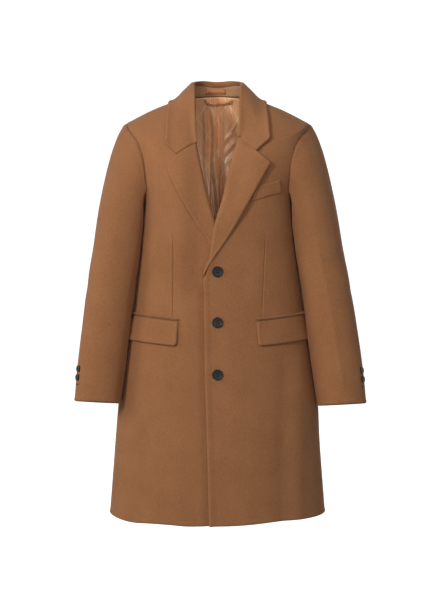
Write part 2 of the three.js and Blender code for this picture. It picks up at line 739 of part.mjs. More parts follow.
function liningBack() {
  const corner = armholeAt(BACK_TURN);
  const rows = steps(LINING_HEM, corner.level, 9)
    .map((level) => ({ level, outer: { angle: BACK_SEAM, level } }));
  for (const t of steps(0, 1, YOKE_ROWS).slice(1)) {
    rows.push({ level: lerp(corner.level, -60, t), outer: armholeAt(lerp(BACK_TURN, 360, t)) });
  }
  for (const t of steps(0, 1, 4).slice(1)) {
    const outer = { angle: SIDE + 1, level: lerp(TIP, NECK, t) };
    rows.push({ level: lerp(-60, NECK, t), outer });
  }
  const shares = [0, 0.2, 0.4, 0.6, 0.78, 0.88, 0.955, 1, 1.045, 1.12, 1.22, 1.4, 1.6, 1.8, 2];
  const spots = rows.map(({ level, outer }) => shares.map((share) => {
    const half = Math.min(share, 2 - share);
    const angle = lerp(outer.angle, BACK, half);
    const pleat = PLEAT_DEPTH * smooth(0.86, 0.96, half) * smooth(-60, -110, level);
    const wave = 1.5 * (1 - Math.cos(half * Math.PI * 6)) * smooth(-20, -120, level);
    const spot = bodySpot(share > 1 ? BACK * 2 - angle : angle, lerp(outer.level, level, half));
    const away = lerp(LINING_SEWN, LINING_AWAY, smooth(-3, -45, level));
    spot.point.addScaledVector(spot.normal, -(WALL + away + pleat + wave));
    return spot;
  }));
  return wall(spots, LINING_WALL, 2);
}

const LABEL_WALL = 1;
const LOOP_RADIUS = 1.5;

// Blank label on the stand, and the loop under it that the coat hangs by
function neckLabel() {
  const [low, high] = [0.2, 0.5];
  const points = steps(-0.121, 0.083, 4).map((w) => {
    const [foot, head] = [neckSeam(w), collarLine(w, 'fold')];
    return steps(low, high, 1).map((q) => foot.clone().lerp(head, q));
  });
  const spots = withNormals(points, -1);
  for (const row of spots) {
    for (const spot of row) spot.point.addScaledVector(spot.normal, 3 * GAP + LABEL_WALL);
  }
  return wall(spots, LABEL_WALL);
}

function hangerLoop() {
  const face = WALL + LINING_SEWN + LINING_WALL + LOOP_RADIUS;
  const places = table(['angle', 'level', 'off'], [
    [205, -2, 0.5], [198, -9, 0.8], [186, -12, 1.2], [172, -10, 1.2], [160, -7, 0.8], [152, -2, 0.5],
  ]);
  const path = new THREE.CatmullRomCurve3(places.map((place) => (
    bodySpot(place.angle, place.level, -(face + place.off)).point)));
  const section = new THREE.Shape();
  section.absarc(0, 0, LOOP_RADIUS, 0, Math.PI * 2);
  return new THREE.ExtrudeGeometry(section, { steps: 14, extrudePath: path, curveSegments: 4 });
}

// Sew-through button with a rim and four holes, its back on the XY plane
function buttonGeometry(radius, thick, hole) {
  const profile = [
    [0, 0], [0.86, 0], [1, 0.3], [1, 0.8], [0.93, 1], [0.8, 1], [0.68, 0.74], [0, 0.7],
  ].map(([r, h]) => new THREE.Vector2(r * radius, h * thick));
  let solid = manifoldOf(new THREE.LatheGeometry(profile, 20));
  for (const turn of [45, 135, 225, 315]) {
    const drill = new THREE.CylinderGeometry(hole, hole, thick * 3, 8);
    const reach = radius * 0.24;
    const at = turn * THREE.MathUtils.DEG2RAD;
    drill.translate(reach * Math.cos(at), 0, reach * Math.sin(at));
    solid = solid.subtract(manifoldOf(drill));
  }
  const { vertProperties, triVerts } = solid.getMesh();
  const geometry = new THREE.BufferGeometry();
  geometry.setAttribute('position', new THREE.Float32BufferAttribute(vertProperties, 3));
  geometry.setIndex([...triVerts]);
  return geometry.rotateX(Math.PI / 2);
}

function manifoldOf(geometry) {
  const bare = geometry.clone();
  bare.deleteAttribute('normal');
  bare.deleteAttribute('uv');
  const merged = mergeVertices(bare, 1e-4);
  return new wasm.Manifold(new wasm.Mesh({
    numProp: 3,
    vertProperties: merged.attributes.position.array,
    triVerts: new Uint32Array(merged.index.array),
  }));
}

const FRONT_BUTTONS = { radius: 12, thick: 4, hole: 1.2, z: [-401, -513.5, -628] };
const CUFF_BUTTONS = { radius: 7.75, thick: 3, hole: 0.8, above: [52, 70.5], turn: 24 };

function button(name, geometry, spot) {
  const piece = mesh(name, geometry, colours.button, 0.35);
  piece.position.copy(spot.point);
  piece.quaternion.setFromUnitVectors(new THREE.Vector3(0, 0, 1), spot.normal);
  return piece;
}

function buttons() {
  const group = new THREE.Group();
  const large = buttonGeometry(FRONT_BUTTONS.radius, FRONT_BUTTONS.thick, FRONT_BUTTONS.hole);
  FRONT_BUTTONS.z.forEach((z, i) => {
    const { angle, level } = locate(0, z);
    group.add(button(`front_button_${i + 1}`, large, frontSpot(fronts[0], angle, level, GAP)));
  });
  const small = buttonGeometry(CUFF_BUTTONS.radius, CUFF_BUTTONS.thick, CUFF_BUTTONS.hole);
  for (const front of fronts) {
    CUFF_BUTTONS.above.forEach((above, i) => {
      const share = (above / (UPPER_ARM - CUFF)) * (1 - CAP_SHARE);
      const spot = sleeveSpot(front.side, share, CUFF_BUTTONS.turn, GAP);
      group.add(button(`cuff_button_${front.name}_${i + 1}`, small, spot));
    });
  }
  return group;
}

function mesh(name, geometry, colour, roughness = 0.95) {
  const material = new THREE.MeshStandardMaterial({ color: colour, roughness, metalness: 0 });
  const piece = new THREE.Mesh(geometry, material);
  piece.name = name;
  return piece;
}

function coat() {
  const group = new THREE.Group();
  for (const front of fronts) {
    group.add(mesh(`front_${front.name}`, frontPanel(front), colours.wool));
    group.add(mesh(`side_${front.name}`, sidePanel(front.side), colours.wool));
    group.add(mesh(`back_${front.name}`, backPanel(front.side), colours.wool));
    group.add(mesh(`sleeve_top_${front.name}`, topSleeve(front.side), colours.wool));
    group.add(mesh(`sleeve_under_${front.name}`, underSleeve(front.side), colours.wool));
    group.add(mesh(`lapel_${front.name}`, lapelPiece(front), colours.collar));
    group.add(mesh(`pocket_flap_${front.name}`, flapPiece(front), colours.wool));
    group.add(mesh(`pocket_jet_${front.name}`, jetPiece(front), colours.wool));
  }
  group.add(mesh('chest_welt', chestWelt(), colours.wool));
  group.add(mesh('collar_fall', collarFall(), colours.collar));
  group.add(mesh('collar_stand', collarStand(), colours.collar));
  group.add(mesh('lining_back', liningBack(), colours.lining, 0.5));
  group.add(mesh('neck_label', neckLabel(), colours.label, 0.7));
  group.add(mesh('hanger_loop', hangerLoop(), colours.lining, 0.5));
  group.add(buttons());
  return group;
}

export default coat();
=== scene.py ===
import math

import bpy
import numpy as np
from mathutils import Matrix, Vector


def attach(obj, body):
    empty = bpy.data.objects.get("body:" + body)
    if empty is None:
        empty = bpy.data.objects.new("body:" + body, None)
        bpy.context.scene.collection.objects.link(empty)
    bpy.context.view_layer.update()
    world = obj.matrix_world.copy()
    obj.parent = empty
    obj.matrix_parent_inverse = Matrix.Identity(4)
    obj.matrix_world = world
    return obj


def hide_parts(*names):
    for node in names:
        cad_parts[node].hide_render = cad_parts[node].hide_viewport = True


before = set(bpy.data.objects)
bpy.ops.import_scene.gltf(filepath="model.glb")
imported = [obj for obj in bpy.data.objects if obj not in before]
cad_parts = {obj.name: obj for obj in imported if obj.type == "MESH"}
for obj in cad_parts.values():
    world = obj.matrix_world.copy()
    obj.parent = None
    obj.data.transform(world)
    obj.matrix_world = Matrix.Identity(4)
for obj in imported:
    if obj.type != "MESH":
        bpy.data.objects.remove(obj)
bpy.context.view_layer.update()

# A single-breasted wool overcoat, filled out and buttoned. Shapes are worked out in
# millimetres in the part's frame and scaled when a mesh is made. Angles go round the
# body from the centre front, positive to the wearer's left.
MM = 0.001
WALL = 3
DOUBLE = 3.6                   # two layers pressed together, as in a lapel
FLAP_WALL = 3
GAP = 0.3                      # between pieces at a seam
LAPEL_LIFT = 0.9
PITCH = 5                      # distance between the points of a piece
FINE_PITCH = 3.5               # the same on small pieces
SIDE, BACK = 90, 180
HEM, TIP, NECK = -955, -110, 0


def table(names, rows):
    """Columns of a table as arrays, by name."""
    return dict(zip(names.split(), np.array(rows, float).T))


BODY = table("level z_front z_side z_back half front back square", [
    (HEM, -961, -948, -951, 247, 142, 141, 2.25),
    (-830, -833, -829, -829, 238, 140, 139, 2.25),
    (-705, -706, -704, -704, 228, 137, 138, 2.3),
    (-600, -600, -600, -600, 217, 133, 135, 2.3),
    (-510, -510, -510, -510, 204, 127, 123, 2.35),
    (-430, -430, -430, -430, 192, 123, 108, 2.4),
    (-350, -350, -350, -350, 181, 124, 110, 2.5),
    (-290, -291, -290, -290, 175, 127, 119, 2.6),
    (-230, -234, -230, -228, 172, 127, 126, 2.7),
    (-170, -188, -142, -165, 192, 121, 127, 2.6),
    (TIP, -143, -57, -104, 208, 108, 119, 2.5),
    (-55, -101, -28, -46, 152, 90, 99, 2.3),
    (NECK, -62, 6, 15, 76, 66, 66, 2.05),
    (38, -30, 38, 53, 54, 46, 58, 2),
])
KINKED = ("half", "z_side")    # these columns turn sharply at the shoulder tip

OVER_EDGE = table("z out", [
    (-961, -19), (-800, -23), (-640, -28), (-440, -31), (-416, -32), (-390, -28),
    (-374, -19), (-330, -13), (-292, -5), (-247, 9), (-190, 22), (-134, 36), (-102, 44),
])
UNDER_EDGE = table("z out", [
    (-961, -30), (-800, -30), (-640, -30), (-440, -30), (-416, -29), (-380, -21),
    (-335, -10), (-292, 4), (-247, 17.5), (-179, 33.5), (-111, 45),
])
OVER_LAPEL = {
    "rows": table("z edge_out edge_z", [
        (-412, -27, -403), (-374, -8, -373), (-330, 20, -332), (-292, 43, -294),
        (-247, 64, -255), (-190, 84, -218), (-134, 103, -183), (-102, 116, -161),
    ]),
    "gorge": (45, -102), "notch": (85, -133), "tip": (116, -161), "collar_tip": (117, -107),
}
UNDER_LAPEL = {
    "rows": table("z edge_out edge_z", [
        (-400, -16, -392), (-370, -4, -368), (-335, 17, -338), (-292, 45, -300),
        (-247, 66, -263), (-179, 90, -222), (-140, 104, -191), (-111, 113, -167),
    ]),
    "gorge": (45, -111), "notch": (88, -141), "tip": (113, -167), "collar_tip": (116, -116),
}
LEFT = {"name": "left", "side": 1, "edge": OVER_EDGE, "lapel": OVER_LAPEL, "under": False}
RIGHT = {"name": "right", "side": -1, "edge": UNDER_EDGE, "lapel": UNDER_LAPEL, "under": True}
FRONTS = (LEFT, RIGHT)

# Turn from the armhole's top, distance out and height of its edge in front and behind
ARMHOLE_FRONT = [
    (18, 205, -70), (42, 185, -101), (64, 171, -132), (86, 164, -167),
    (108, 161, -198), (130, 161, -221),
]
ARMHOLE_BACK = [
    (18, 205, -70), (42, 192, -99), (64, 182, -132), (86, 176, -167),
    (108, 171, -198), (130, 167, -221),
]
ARMHOLE_BOTTOM = -232
# Turn, angle and level of its low end, and the turns at which the seams below it start
ARMHOLE_LOW = [
    (155, 76, ARMHOLE_BOTTOM + 2.5), (180, SIDE, ARMHOLE_BOTTOM), (205, 104, ARMHOLE_BOTTOM + 2.5),
]
FRONT_TURN, BACK_TURN = 144, 216

SLEEVE = table("z out y half depth turned square", [
    (-691, 270.5, -66, 51, 47, 6, 2.2),
    (-626, 263.5, -63, 53, 50, 8, 2.2),
    (-511, 249.7, -54, 53.5, 56, 9, 2.3),
    (-411, 236.5, -42, 54, 62, 10, 2.35),
    (-339, 226.5, -33, 54, 67, 11, 2.4),
    (-290, 219.7, -28, 54, 70, 12, 2.4),
])
CUFF, UPPER_ARM = -691, -290
CUFF_SLOPE = (0.055, 0.12)      # at the cuff, at the elbow
CUFF_DROP = (2.5, 7.5)          # wearer's right, wearer's left
FORWARD_SLOPE = 0.095
LEFT_SWING = 12.5
CUFF_IN = (2, 8)                # how far its inner side is pressed in, right and left
SLEEVE_CLEAR = 1.6
FLAP_ROOM = 4.5
CAP_SHARE = 0.42               # of a sleeve, above the upper arm
CAP_LEAVES, CAP_ARRIVES = 0.44, 1.02    # how straight it runs at the armhole and at the arm
FRONT_ARM_SEAM = 126

COLLAR = table("w foldx foldy foldz edgex edgey edgez", [
    (0, 0, 58, 48, 0, 86, -12),
    (0.22, 34, 49, 50, 62, 76, -14),
    (0.45, 50, 10, 39, 107, 10, -7),
    (0.62, 49, -24, 21, 112, -44, -33),
    (0.8, 48, -60, -30, 116, -80, -70),
])
NECK_POINT_W = 0.45
FLAP = {"out": 86, "z": -511, "length": 165, "depth": 55, "rise": 0.105, "corner": 9}
FLAP_OFF = (0.3, 3.9)           # off the front at its top and at its lower edge
JET, JET_WALL, JET_SWELL, JET_PITCH = 8, 1.4, 3.2, 1.5
WELT = ((88, -211.7), (138, -195.5), (70, -247), (141, -224))    # top in and out, low in and out
WELT_WALL, WELT_OFF = 2.4, 3.4
WELT_DOWN, WELT_OVER = (32, 2.5), (60, 3)    # rough length and distance of the points


# Numbers

def lerp(a, b, t):
    return a + (b - a) * t


def smooth(start, end, x):
    t = np.clip((np.asarray(x, float) - start) / (end - start), 0, 1)
    return t * t * (3 - 2 * t)


def bump(x, centre, width):
    return np.exp(-((x - centre) / width) ** 2)


def bumps(x, rows):
    """Sum of bumps, each given by its height, centre and width."""
    total = np.zeros_like(x)
    for height, centre, width in rows:
        total = total + height * bump(x, centre, width)
    return total


def hermite(t, start, leaving, end, arriving):
    """Cubic from start to end that leaves and arrives with the given slopes."""
    t2, t3 = t * t, t * t * t
    return (start * (2 * t3 - 3 * t2 + 1) + leaving * (t3 - 2 * t2 + t)
            + end * (3 * t2 - 2 * t3) + arriving * (t3 - t2))


def slopes(keys, values, kink, rising):
    """Slope of a column at each row. A kinked row only looks to one side."""
    rows = np.arange(len(keys))
    low, high = np.maximum(rows - 1, 0), np.minimum(rows + 1, len(keys) - 1)
    if kink is not None:
        row = int(np.argmin(np.abs(keys - kink)))
        if rising:
            low[row] = row
        else:
            high[row] = row
    return (values[high] - values[low]) / (keys[high] - keys[low])


def along(rows, key, column, at, kink=None):
    """Smooth value of one column of a table."""
    keys, values = rows[key], rows[column]
    at = np.asarray(at, float)
    i = np.clip(np.searchsorted(keys, at) - 1, 0, len(keys) - 2)
    span = keys[i + 1] - keys[i]
    t = (at - keys[i]) / span
    rise = slopes(keys, values, kink, True)[i]
    fall = slopes(keys, values, kink, False)[i + 1]
    return hermite(t, values[i], rise * span, values[i + 1], fall * span)


def unit(vectors):
    return vectors / np.linalg.norm(vectors, axis=-1, keepdims=True)


def dot(a, b):
    return np.sum(a * b, axis=-1, keepdims=True)


# The surface of the body

def body_ring(level):
    return {column: along(BODY, "level", column, level, TIP if column in KINKED else None)
            for column in BODY if column != "level"}


def body_point(angle, level):
    """Point of the smooth body. A level is the height that a ring of it is known by."""
    angle, level = np.broadcast_arrays(np.asarray(angle, float), np.asarray(level, float))
    ring = body_ring(level)
    s, c = np.sin(np.radians(angle)), np.cos(np.radians(angle))
    n = ring["square"]
    reach = (np.abs(s) ** n + np.abs(c) ** n) ** (-1 / n)
    depth = np.where(c > 0, ring["front"], ring["back"])
    end = np.where(c > 0, ring["z_front"], ring["z_back"])
    z = lerp(end, ring["z_side"], s * s)
    return np.stack([reach * s * ring["half"], -reach * c * depth, z], axis=-1)


def body_normal(angle, level):
    turn, rise = 0.2, 0.5
    across = body_point(angle + turn, level) - body_point(angle - turn, level)
    up = body_point(angle, level + rise) - body_point(angle, level - rise)
    return unit(np.cross(across, up))


def angle_at(out, level, on_back=False):
    """Angle at which a ring of the body is this far out."""
    ring = body_ring(level)
    k = np.clip(out / ring["half"], -0.9995, 0.9995)
    n = ring["square"]
    angle = np.degrees(np.arctan2(k, (1 - np.abs(k) ** n) ** (1 / n)))
    return BACK - angle if on_back else angle


def locate(out, z, on_back=False):
    """Angle and level of the surface point seen at this distance out and this height."""
    out, z = np.broadcast_arrays(np.asarray(out, float), np.asarray(z, float))
    level = z.copy()
    for _ in range(60):
        level = np.minimum(level, NECK)
        angle = angle_at(out, level, on_back)
        level = level + 0.7 * (z - body_point(angle, level)[..., 2])
    return angle, np.minimum(level, NECK)


SKIRT_WAVES = table("height per_mm start lean", [
    (1.1, 0.03, 0.6, 0.0011), (0.5, 0.052, -1.2, 0.002),
])
# Height, centre and width across the body
FRONT_HOLLOWS = ((-1.5, 62, 26), (-1.5, -62, 26))
FLANK_FOLD = ((2.6, 182, 15), (-3.2, 148, 17))
HEM_SHIFTS = ((4.5, 135, 75), (-5, -200, 45), (-1.5, -65, 30))
WAIST, WAIST_TALL = -400, 90
HIP, HIP_TALL, HIP_SWELL = -690, 65, 3.5
SIDE_IN = 0.4                  # sides hang in a little under the sleeves


def drape(point):
    """How far worn cloth hangs in or out of the smooth surface."""
    x, y, z = point[..., 0], point[..., 1], point[..., 2]
    waves = sum(height * np.sin(x * per_mm + start + z * lean)
                for height, per_mm, start, lean in zip(*SKIRT_WAVES.values()))
    skirt = 1 - smooth(-760, -460, z)
    ahead = 1 - smooth(-60, -20, y)
    hollows = bumps(x, FRONT_HOLLOWS) * bump(z, WAIST, WAIST_TALL)
    beside = smooth(120, 165, np.abs(x))
    hip = HIP_SWELL * smooth(165, 215, x) * bump(z, HIP, HIP_TALL)
    flank = bumps(x, FLANK_FOLD) * (1 - smooth(-640, -560, z)) * (1 - smooth(-60, 0, y))
    hang = (waves * skirt + hollows * ahead) * (1 - beside)
    return hang - SIDE_IN * beside * (1 - smooth(-240, -200, z)) + (hip + flank)


def hem_shift(point):
    """The hem of the fronts hangs a little lower on the wearer's right than on the left."""
    x, y, z = point[..., 0], point[..., 1], point[..., 2]
    ahead = 1 - smooth(-50, 40, y)
    near_hem = 1 - smooth(HEM, HEM + 190, z)
    return bumps(x, HEM_SHIFTS) * ahead * near_hem


def laid_on(point, normal, height):
    """Lifts a point off the body, and lowers or raises it with the hem."""
    point[..., 2] += hem_shift(point)
    return point + normal * np.asarray(height)[..., None], normal


def body_spot(angle, level, lift=0):
    """Point of the cloth on the body, lifted off it, and the way it faces."""
    point = body_point(angle, level)
    return laid_on(point, body_normal(angle, level), lift + drape(point))


LAP_HOLLOW = 4                 # the under front sinks this much beside the over front's edge


def lap_depth(front, point):
    """The under front lies behind the over front at the middle."""
    if not front["under"]:
        return np.zeros(point.shape[:-1])
    out = point[..., 0] * front["side"]
    lapel_room = (DOUBLE + LAPEL_LIFT + 2 * GAP) * smooth(-475, -425, point[..., 2])
    edge = along(OVER_EDGE, "z", "out", np.minimum(point[..., 2], -440))
    hollow = LAP_HOLLOW * (1 - smooth(0, 15, out + edge)) * (1 - smooth(-455, -425, point[..., 2]))
    return (WALL + GAP + lapel_room) * (1 - smooth(38, 86, out)) + hollow


def front_spot(front, angle, level, lift=0):
    """The same on a front, with the angle counted towards its own side."""
    angle = angle * front["side"]
    point = body_point(angle, level)
    height = lift + drape(point) - lap_depth(front, point)
    return laid_on(point, body_normal(angle, level), height)


# Grids of points and the cloth made from them

FINE = np.array([0, 0.5, 1.2, 2.2, 4])
RIM = len(FINE) - 1            # rows that lie close together at a border


def edge_steps(length, pitch=PITCH):
    """Places from 0 to 1 along a length, close together at both ends."""
    middle = np.linspace(FINE[-1], length - FINE[-1], max(2, round((length - 2 * FINE[-1]) / pitch)))
    return np.concatenate([FINE[:-1], middle, length - FINE[:-1][::-1]]) / length


def run_of(points, axis):
    """Distance from the start of each line of a grid, and to its end."""
    step = np.linalg.norm(np.diff(points, axis=axis), axis=-1)
    zero = np.zeros_like(np.take(step, [0], axis=axis))
    start = np.concatenate([zero, np.cumsum(step, axis=axis)], axis=axis)
    return start, np.take(start, [-1], axis=axis) - start


def tangents(points, axis):
    return unit(np.gradient(points, axis=axis))


def rounded(points, corners, radius):
    """Rounds corners of a grid, each named by its last row and last column."""
    points = points.copy()
    for last_row, last_column in corners:
        rows = run_of(points, 0)[1 if last_row else 0]
        columns = run_of(points, 1)[1 if last_column else 0]
        inward_row = tangents(points, 0) * (-1 if last_row else 1)
        inward_column = tangents(points, 1) * (-1 if last_column else 1)
        u = np.clip(1 - rows / radius, 0, 1)
        v = np.clip(1 - columns / radius, 0, 1)
        down = radius * (u - u * np.sqrt(1 - v * v / 2))
        over = radius * (v - v * np.sqrt(1 - u * u / 2))
        points += inward_row * down[..., None] + inward_column * over[..., None]
    return points


# Ridges and grooves beside each kind of border: height, distance from it and width
BORDERS = {
    "edge": ((1.1, 4.4, 3.2),),
    "lapped": ((1.1, 4.4, 3.2), (1.4, 5, 3.4)),
    "seam": ((-0.9, 0, 1.3), (-0.5, 0, 4.5)),
    "pressed": ((-0.5, 0, 1.2), (-0.2, 0, 4)),
    "none": (),
}
FREE_BORDERS = ("edge", "lapped")


def border_height(distance, kind, thick):
    """Height of the cloth beside one of its borders. A free one is rounded off."""
    height = bumps(distance, BORDERS[kind])
    if kind in FREE_BORDERS:
        turned = np.clip(1 - distance / (1.15 * thick), 0, 1)
        height = height - 0.85 * thick * (1 - np.sqrt(1 - turned ** 2))
    return height


def cloth(name, points, normals, thick, borders, close=GAP / 2):
    """Closed piece of cloth under a grid. Borders are those at the first row, last row,
    first column and last column."""
    run_up, run_down = run_of(points, 0)
    run_in, run_out = run_of(points, 1)
    distances = (run_up, run_down, run_in, run_out)
    height = sum(border_height(d, kind, np.max(thick)) for d, kind in zip(distances, borders))
    thick = np.broadcast_to(np.asarray(thick, float), points.shape[:2])[..., None]
    pull = np.zeros_like(points)
    for axis, towards_end in ((0, True), (0, False), (1, True), (1, False)):
        ends = [slice(None), slice(None)]
        ends[axis] = 0 if towards_end else -1
        pull[tuple(ends)] += tangents(points, axis)[tuple(ends)] * (close if towards_end else -close)
    outer = points + normals * height[..., None] + pull
    inner = points - normals * thick + pull
    return shell(name, outer, inner, np.stack([run_in, run_up], axis=-1))


def ring_indices(rows, columns):
    """Indices of the border of a grid, once round."""
    grid = np.arange(rows * columns).reshape(rows, columns)
    return np.concatenate([grid[0, :-1], grid[:-1, -1], grid[-1, :0:-1], grid[:0:-1, 0]])


RIM_BULGE = 0.22               # of the wall


def shell(name, outer, inner, flat):
    """Mesh between two grids, with a rounded rim."""
    rows, columns = outer.shape[:2]
    count = rows * columns
    grid = np.arange(count).reshape(rows, columns)
    quads = np.stack([grid[:-1, :-1], grid[:-1, 1:], grid[1:, 1:], grid[1:, :-1]], axis=-1)
    ring = ring_indices(rows, columns)
    after = np.roll(ring, -1)
    rim = np.arange(len(ring)) + 2 * count
    rim_after = np.roll(rim, -1)
    flat_outer, flat_inner = outer.reshape(-1, 3), inner.reshape(-1, 3)
    middle = (flat_outer[ring] + flat_inner[ring]) / 2
    centre = middle.mean(axis=0)
    run = np.roll(middle, -1, axis=0) - np.roll(middle, 1, axis=0)
    away = unit(np.cross(run, flat_outer[ring] - flat_inner[ring]))
    thick = np.linalg.norm(flat_outer[ring] - flat_inner[ring], axis=-1, keepdims=True)
    sign = 1 if np.sum(dot(away, middle - centre)) > 0 else -1
    middle = middle + away * sign * thick * RIM_BULGE
    vertices = np.concatenate([flat_outer, flat_inner, middle]) * MM
    upper = np.stack([after, ring, rim, rim_after], axis=-1)
    lower = np.stack([rim_after, rim, ring + count, after + count], axis=-1)
    quads = quads.reshape(-1, 4)
    faces = np.concatenate([quads, quads[:, ::-1] + count, upper, lower])
    uv = np.concatenate([flat.reshape(-1, 2), flat.reshape(-1, 2), flat.reshape(-1, 2)[ring]]) * MM
    return mesh_object(name, vertices, faces, uv)


def in_scene(name, data):
    """Adds an object with this data to the scene."""
    obj = bpy.data.objects.new(name, data)
    bpy.context.scene.collection.objects.link(obj)
    return obj


def mesh_object(name, vertices, faces, uv=None):
    data = bpy.data.meshes.new(name)
    data.from_pydata(vertices.tolist(), [], [list(map(int, face)) for face in faces])
    if uv is not None:
        layer = data.uv_layers.new(name="cloth")
        corners = np.empty(len(data.loops), int)
        data.loops.foreach_get("vertex_index", corners)
        layer.data.foreach_set("uv", uv[corners].astype(np.float32).ravel())
    data.shade_smooth()
    data.update()
    turn_outward(data)
    return in_scene(name, data)


def turn_outward(data):
    """Turns the faces over if the closed mesh is inside out."""
    data.calc_loop_triangles()
    corners = np.empty(len(data.loop_triangles) * 3, int)
    data.loop_triangles.foreach_get("vertices", corners)
    places = np.empty(len(data.vertices) * 3)
    data.vertices.foreach_get("co", places)
    a, b, c = np.moveaxis(places.reshape(-1, 3)[corners.reshape(-1, 3)], 1, 0)
    if np.sum(a * np.cross(b, c)) < 0:
        data.flip_normals()


def grid_normals(points):
    across, up = np.gradient(points, axis=1), np.gradient(points, axis=0)
    return -unit(np.cross(across, up))


# Panels of the body

def armhole_table():
    front_angle, front_level = locate(*np.array(ARMHOLE_FRONT, float).T[1:])
    back_angle, back_level = locate(*np.array(ARMHOLE_BACK, float).T[1:], on_back=True)
    rows = [(0, SIDE, TIP)]
    rows += list(zip([row[0] for row in ARMHOLE_FRONT], front_angle, front_level))
    rows += ARMHOLE_LOW
    rows += list(zip([360 - row[0] for row in ARMHOLE_BACK], back_angle, back_level))[::-1]
    before = [(turn - 360, angle, level) for turn, angle, level in rows[-4:]]
    after = [(turn + 360, angle, level) for turn, angle, level in rows[:3]]
    return table("turn angle level", before + rows + after)


ARMHOLE = armhole_table()


def armhole_at(turn):
    """Angle and level of the armhole's edge."""
    return along(ARMHOLE, "turn", "angle", turn), along(ARMHOLE, "turn", "level", turn)


FRONT_SEAM = float(armhole_at(FRONT_TURN)[0])
BACK_SEAM = float(armhole_at(BACK_TURN)[0])


def neckline_at(front, share):
    """Angle and level of the neck's edge, from the lapel's top at 0 to the neck point at 1."""
    angle, level = locate(*front["lapel"]["gorge"])
    return lerp(angle, SIDE, share), level * (1 - share) ** 3


DART_Z = (-490, -310)
DART_OUT = {"left": (99, 107.7), "right": (99, 98.7)}
DART_FORM = ((0.5, 2.8, 1.6), (-1.5, 0, 1.1), (-0.4, 0, 8))
DART_STEPS = 48


def dart_line(front, z):
    """How far out the long dart of a front lies."""
    return np.interp(z, DART_Z, DART_OUT[front["name"]])


def dart(front, point):
    """Groove of the dart, with a low ridge beside it."""
    x, z = point[..., 0] * front["side"], point[..., 2]
    shown = smooth(-530, -480, z) * (1 - smooth(-340, -308, z))
    return bumps(x - dart_line(front, z), DART_FORM) * shown


# Rough lengths of the pieces, from which their numbers of points follow
SKIRT_RUN, ABOVE_RUN, ABOVE_PITCH = 720, 300, 4
FRONT_RUN, SIDE_RUN, BACK_RUN = 230, 100, 200
NECK_FROM = 0.5                # of the rows above the armhole's low end, where the neck begins
SET_BACK = 5                   # of a front's edge behind the roll line


def panel_lines(turn, last_turn):
    """Levels below the armhole's low end, shares above it, and the panel's outer line."""
    seam_angle, corner_level = (float(value) for value in armhole_at(turn))
    low = lerp(HEM, corner_level, edge_steps(SKIRT_RUN)[:-RIM])
    t = edge_steps(ABOVE_RUN, ABOVE_PITCH)[RIM:]
    high_angle, high_level = armhole_at(lerp(turn, last_turn, t))
    outer = (np.concatenate([np.full(len(low), seam_angle), high_angle]),
             np.concatenate([low, high_level]))
    return low, t, outer


def above_share(t):
    """Shares of the way to where the neck begins, and of the way along it."""
    return np.minimum(t / NECK_FROM, 1), np.clip((t - NECK_FROM) / (1 - NECK_FROM), 0, 1)


def across_panel(inner, outer, q):
    """Angles and levels of a grid between two lines."""
    return (lerp(first[:, None], last[:, None], q) for first, last in zip(inner, outer))


def front_panel(front):
    """A front, from its edge and roll line to the side panel and the armhole."""
    edge, gorge = front["edge"], front["lapel"]["gorge"]
    gorge_level = float(locate(*gorge)[1])

    def edge_at(level):
        out = along(edge, "z", "out", np.minimum(level, gorge[1]))
        return angle_at(out + SET_BACK * smooth(-425, -395, level), level)

    low, t, outer = panel_lines(FRONT_TURN, 0)
    below_neck, on_neck = above_share(t)
    edge_level = lerp(float(armhole_at(FRONT_TURN)[1]), gorge_level, below_neck)
    neck_angle, neck_level = neckline_at(front, on_neck)
    on_edge = t <= NECK_FROM
    inner = (np.concatenate([edge_at(low), np.where(on_edge, edge_at(edge_level), neck_angle)]),
             np.concatenate([low, np.where(on_edge, edge_level, neck_level)]))
    angle, level = across_panel(inner, outer, around_dart(front, edge_at))
    points, normals = front_spot(front, angle, level)
    points = points + normals * dart(front, points)[..., None]
    borders = ("edge", "pressed") + (("edge", "seam") if front["under"] else ("lapped", "pressed"))
    return cloth(f"front_{front['name']}_cloth", points, normals, WALL, borders)


def around_dart(front, edge_at):
    """Places across a front, close together where the dart runs."""
    levels = np.linspace(*DART_Z, 7)
    from_edge = angle_at(dart_line(front, levels), levels) - edge_at(levels)
    share = from_edge / (FRONT_SEAM - edge_at(levels))
    fine = np.linspace(share.min() - 0.02, share.max() + 0.02, DART_STEPS)
    wide = edge_steps(FRONT_RUN)
    return np.sort(np.append(wide[(wide < fine[0]) | (wide > fine[-1])], fine))


def side_panel(front):
    """Narrow panel under the arm, between a front and a back."""
    angle, top = armhole_at(lerp(FRONT_TURN, BACK_TURN, edge_steps(SIDE_RUN)))
    level = lerp(HEM, top[None, :], edge_steps(SKIRT_RUN)[:, None])
    points, normals = body_spot(front["side"] * np.broadcast_to(angle, level.shape), level)
    return cloth(f"side_{front['name']}_cloth", points, normals, WALL, ("edge", "seam", "seam", "seam"))


def back_panel(front):
    """Half of the back, from the centre seam to the side panel and the armhole."""
    low, t, outer = panel_lines(BACK_TURN, 360)
    below_neck, on_neck = above_share(t)
    inner = (np.concatenate([np.full(len(low), BACK), lerp(BACK, SIDE, on_neck)]),
             np.concatenate([low, lerp(float(armhole_at(BACK_TURN)[1]), NECK, below_neck)]))
    angle, level = across_panel(inner, outer, edge_steps(BACK_RUN))
    points, normals = body_spot(front["side"] * angle, level)
    return cloth(f"back_{front['name']}_cloth", points, normals, WALL, ("edge", "seam", "seam", "seam"))


# Sleeves

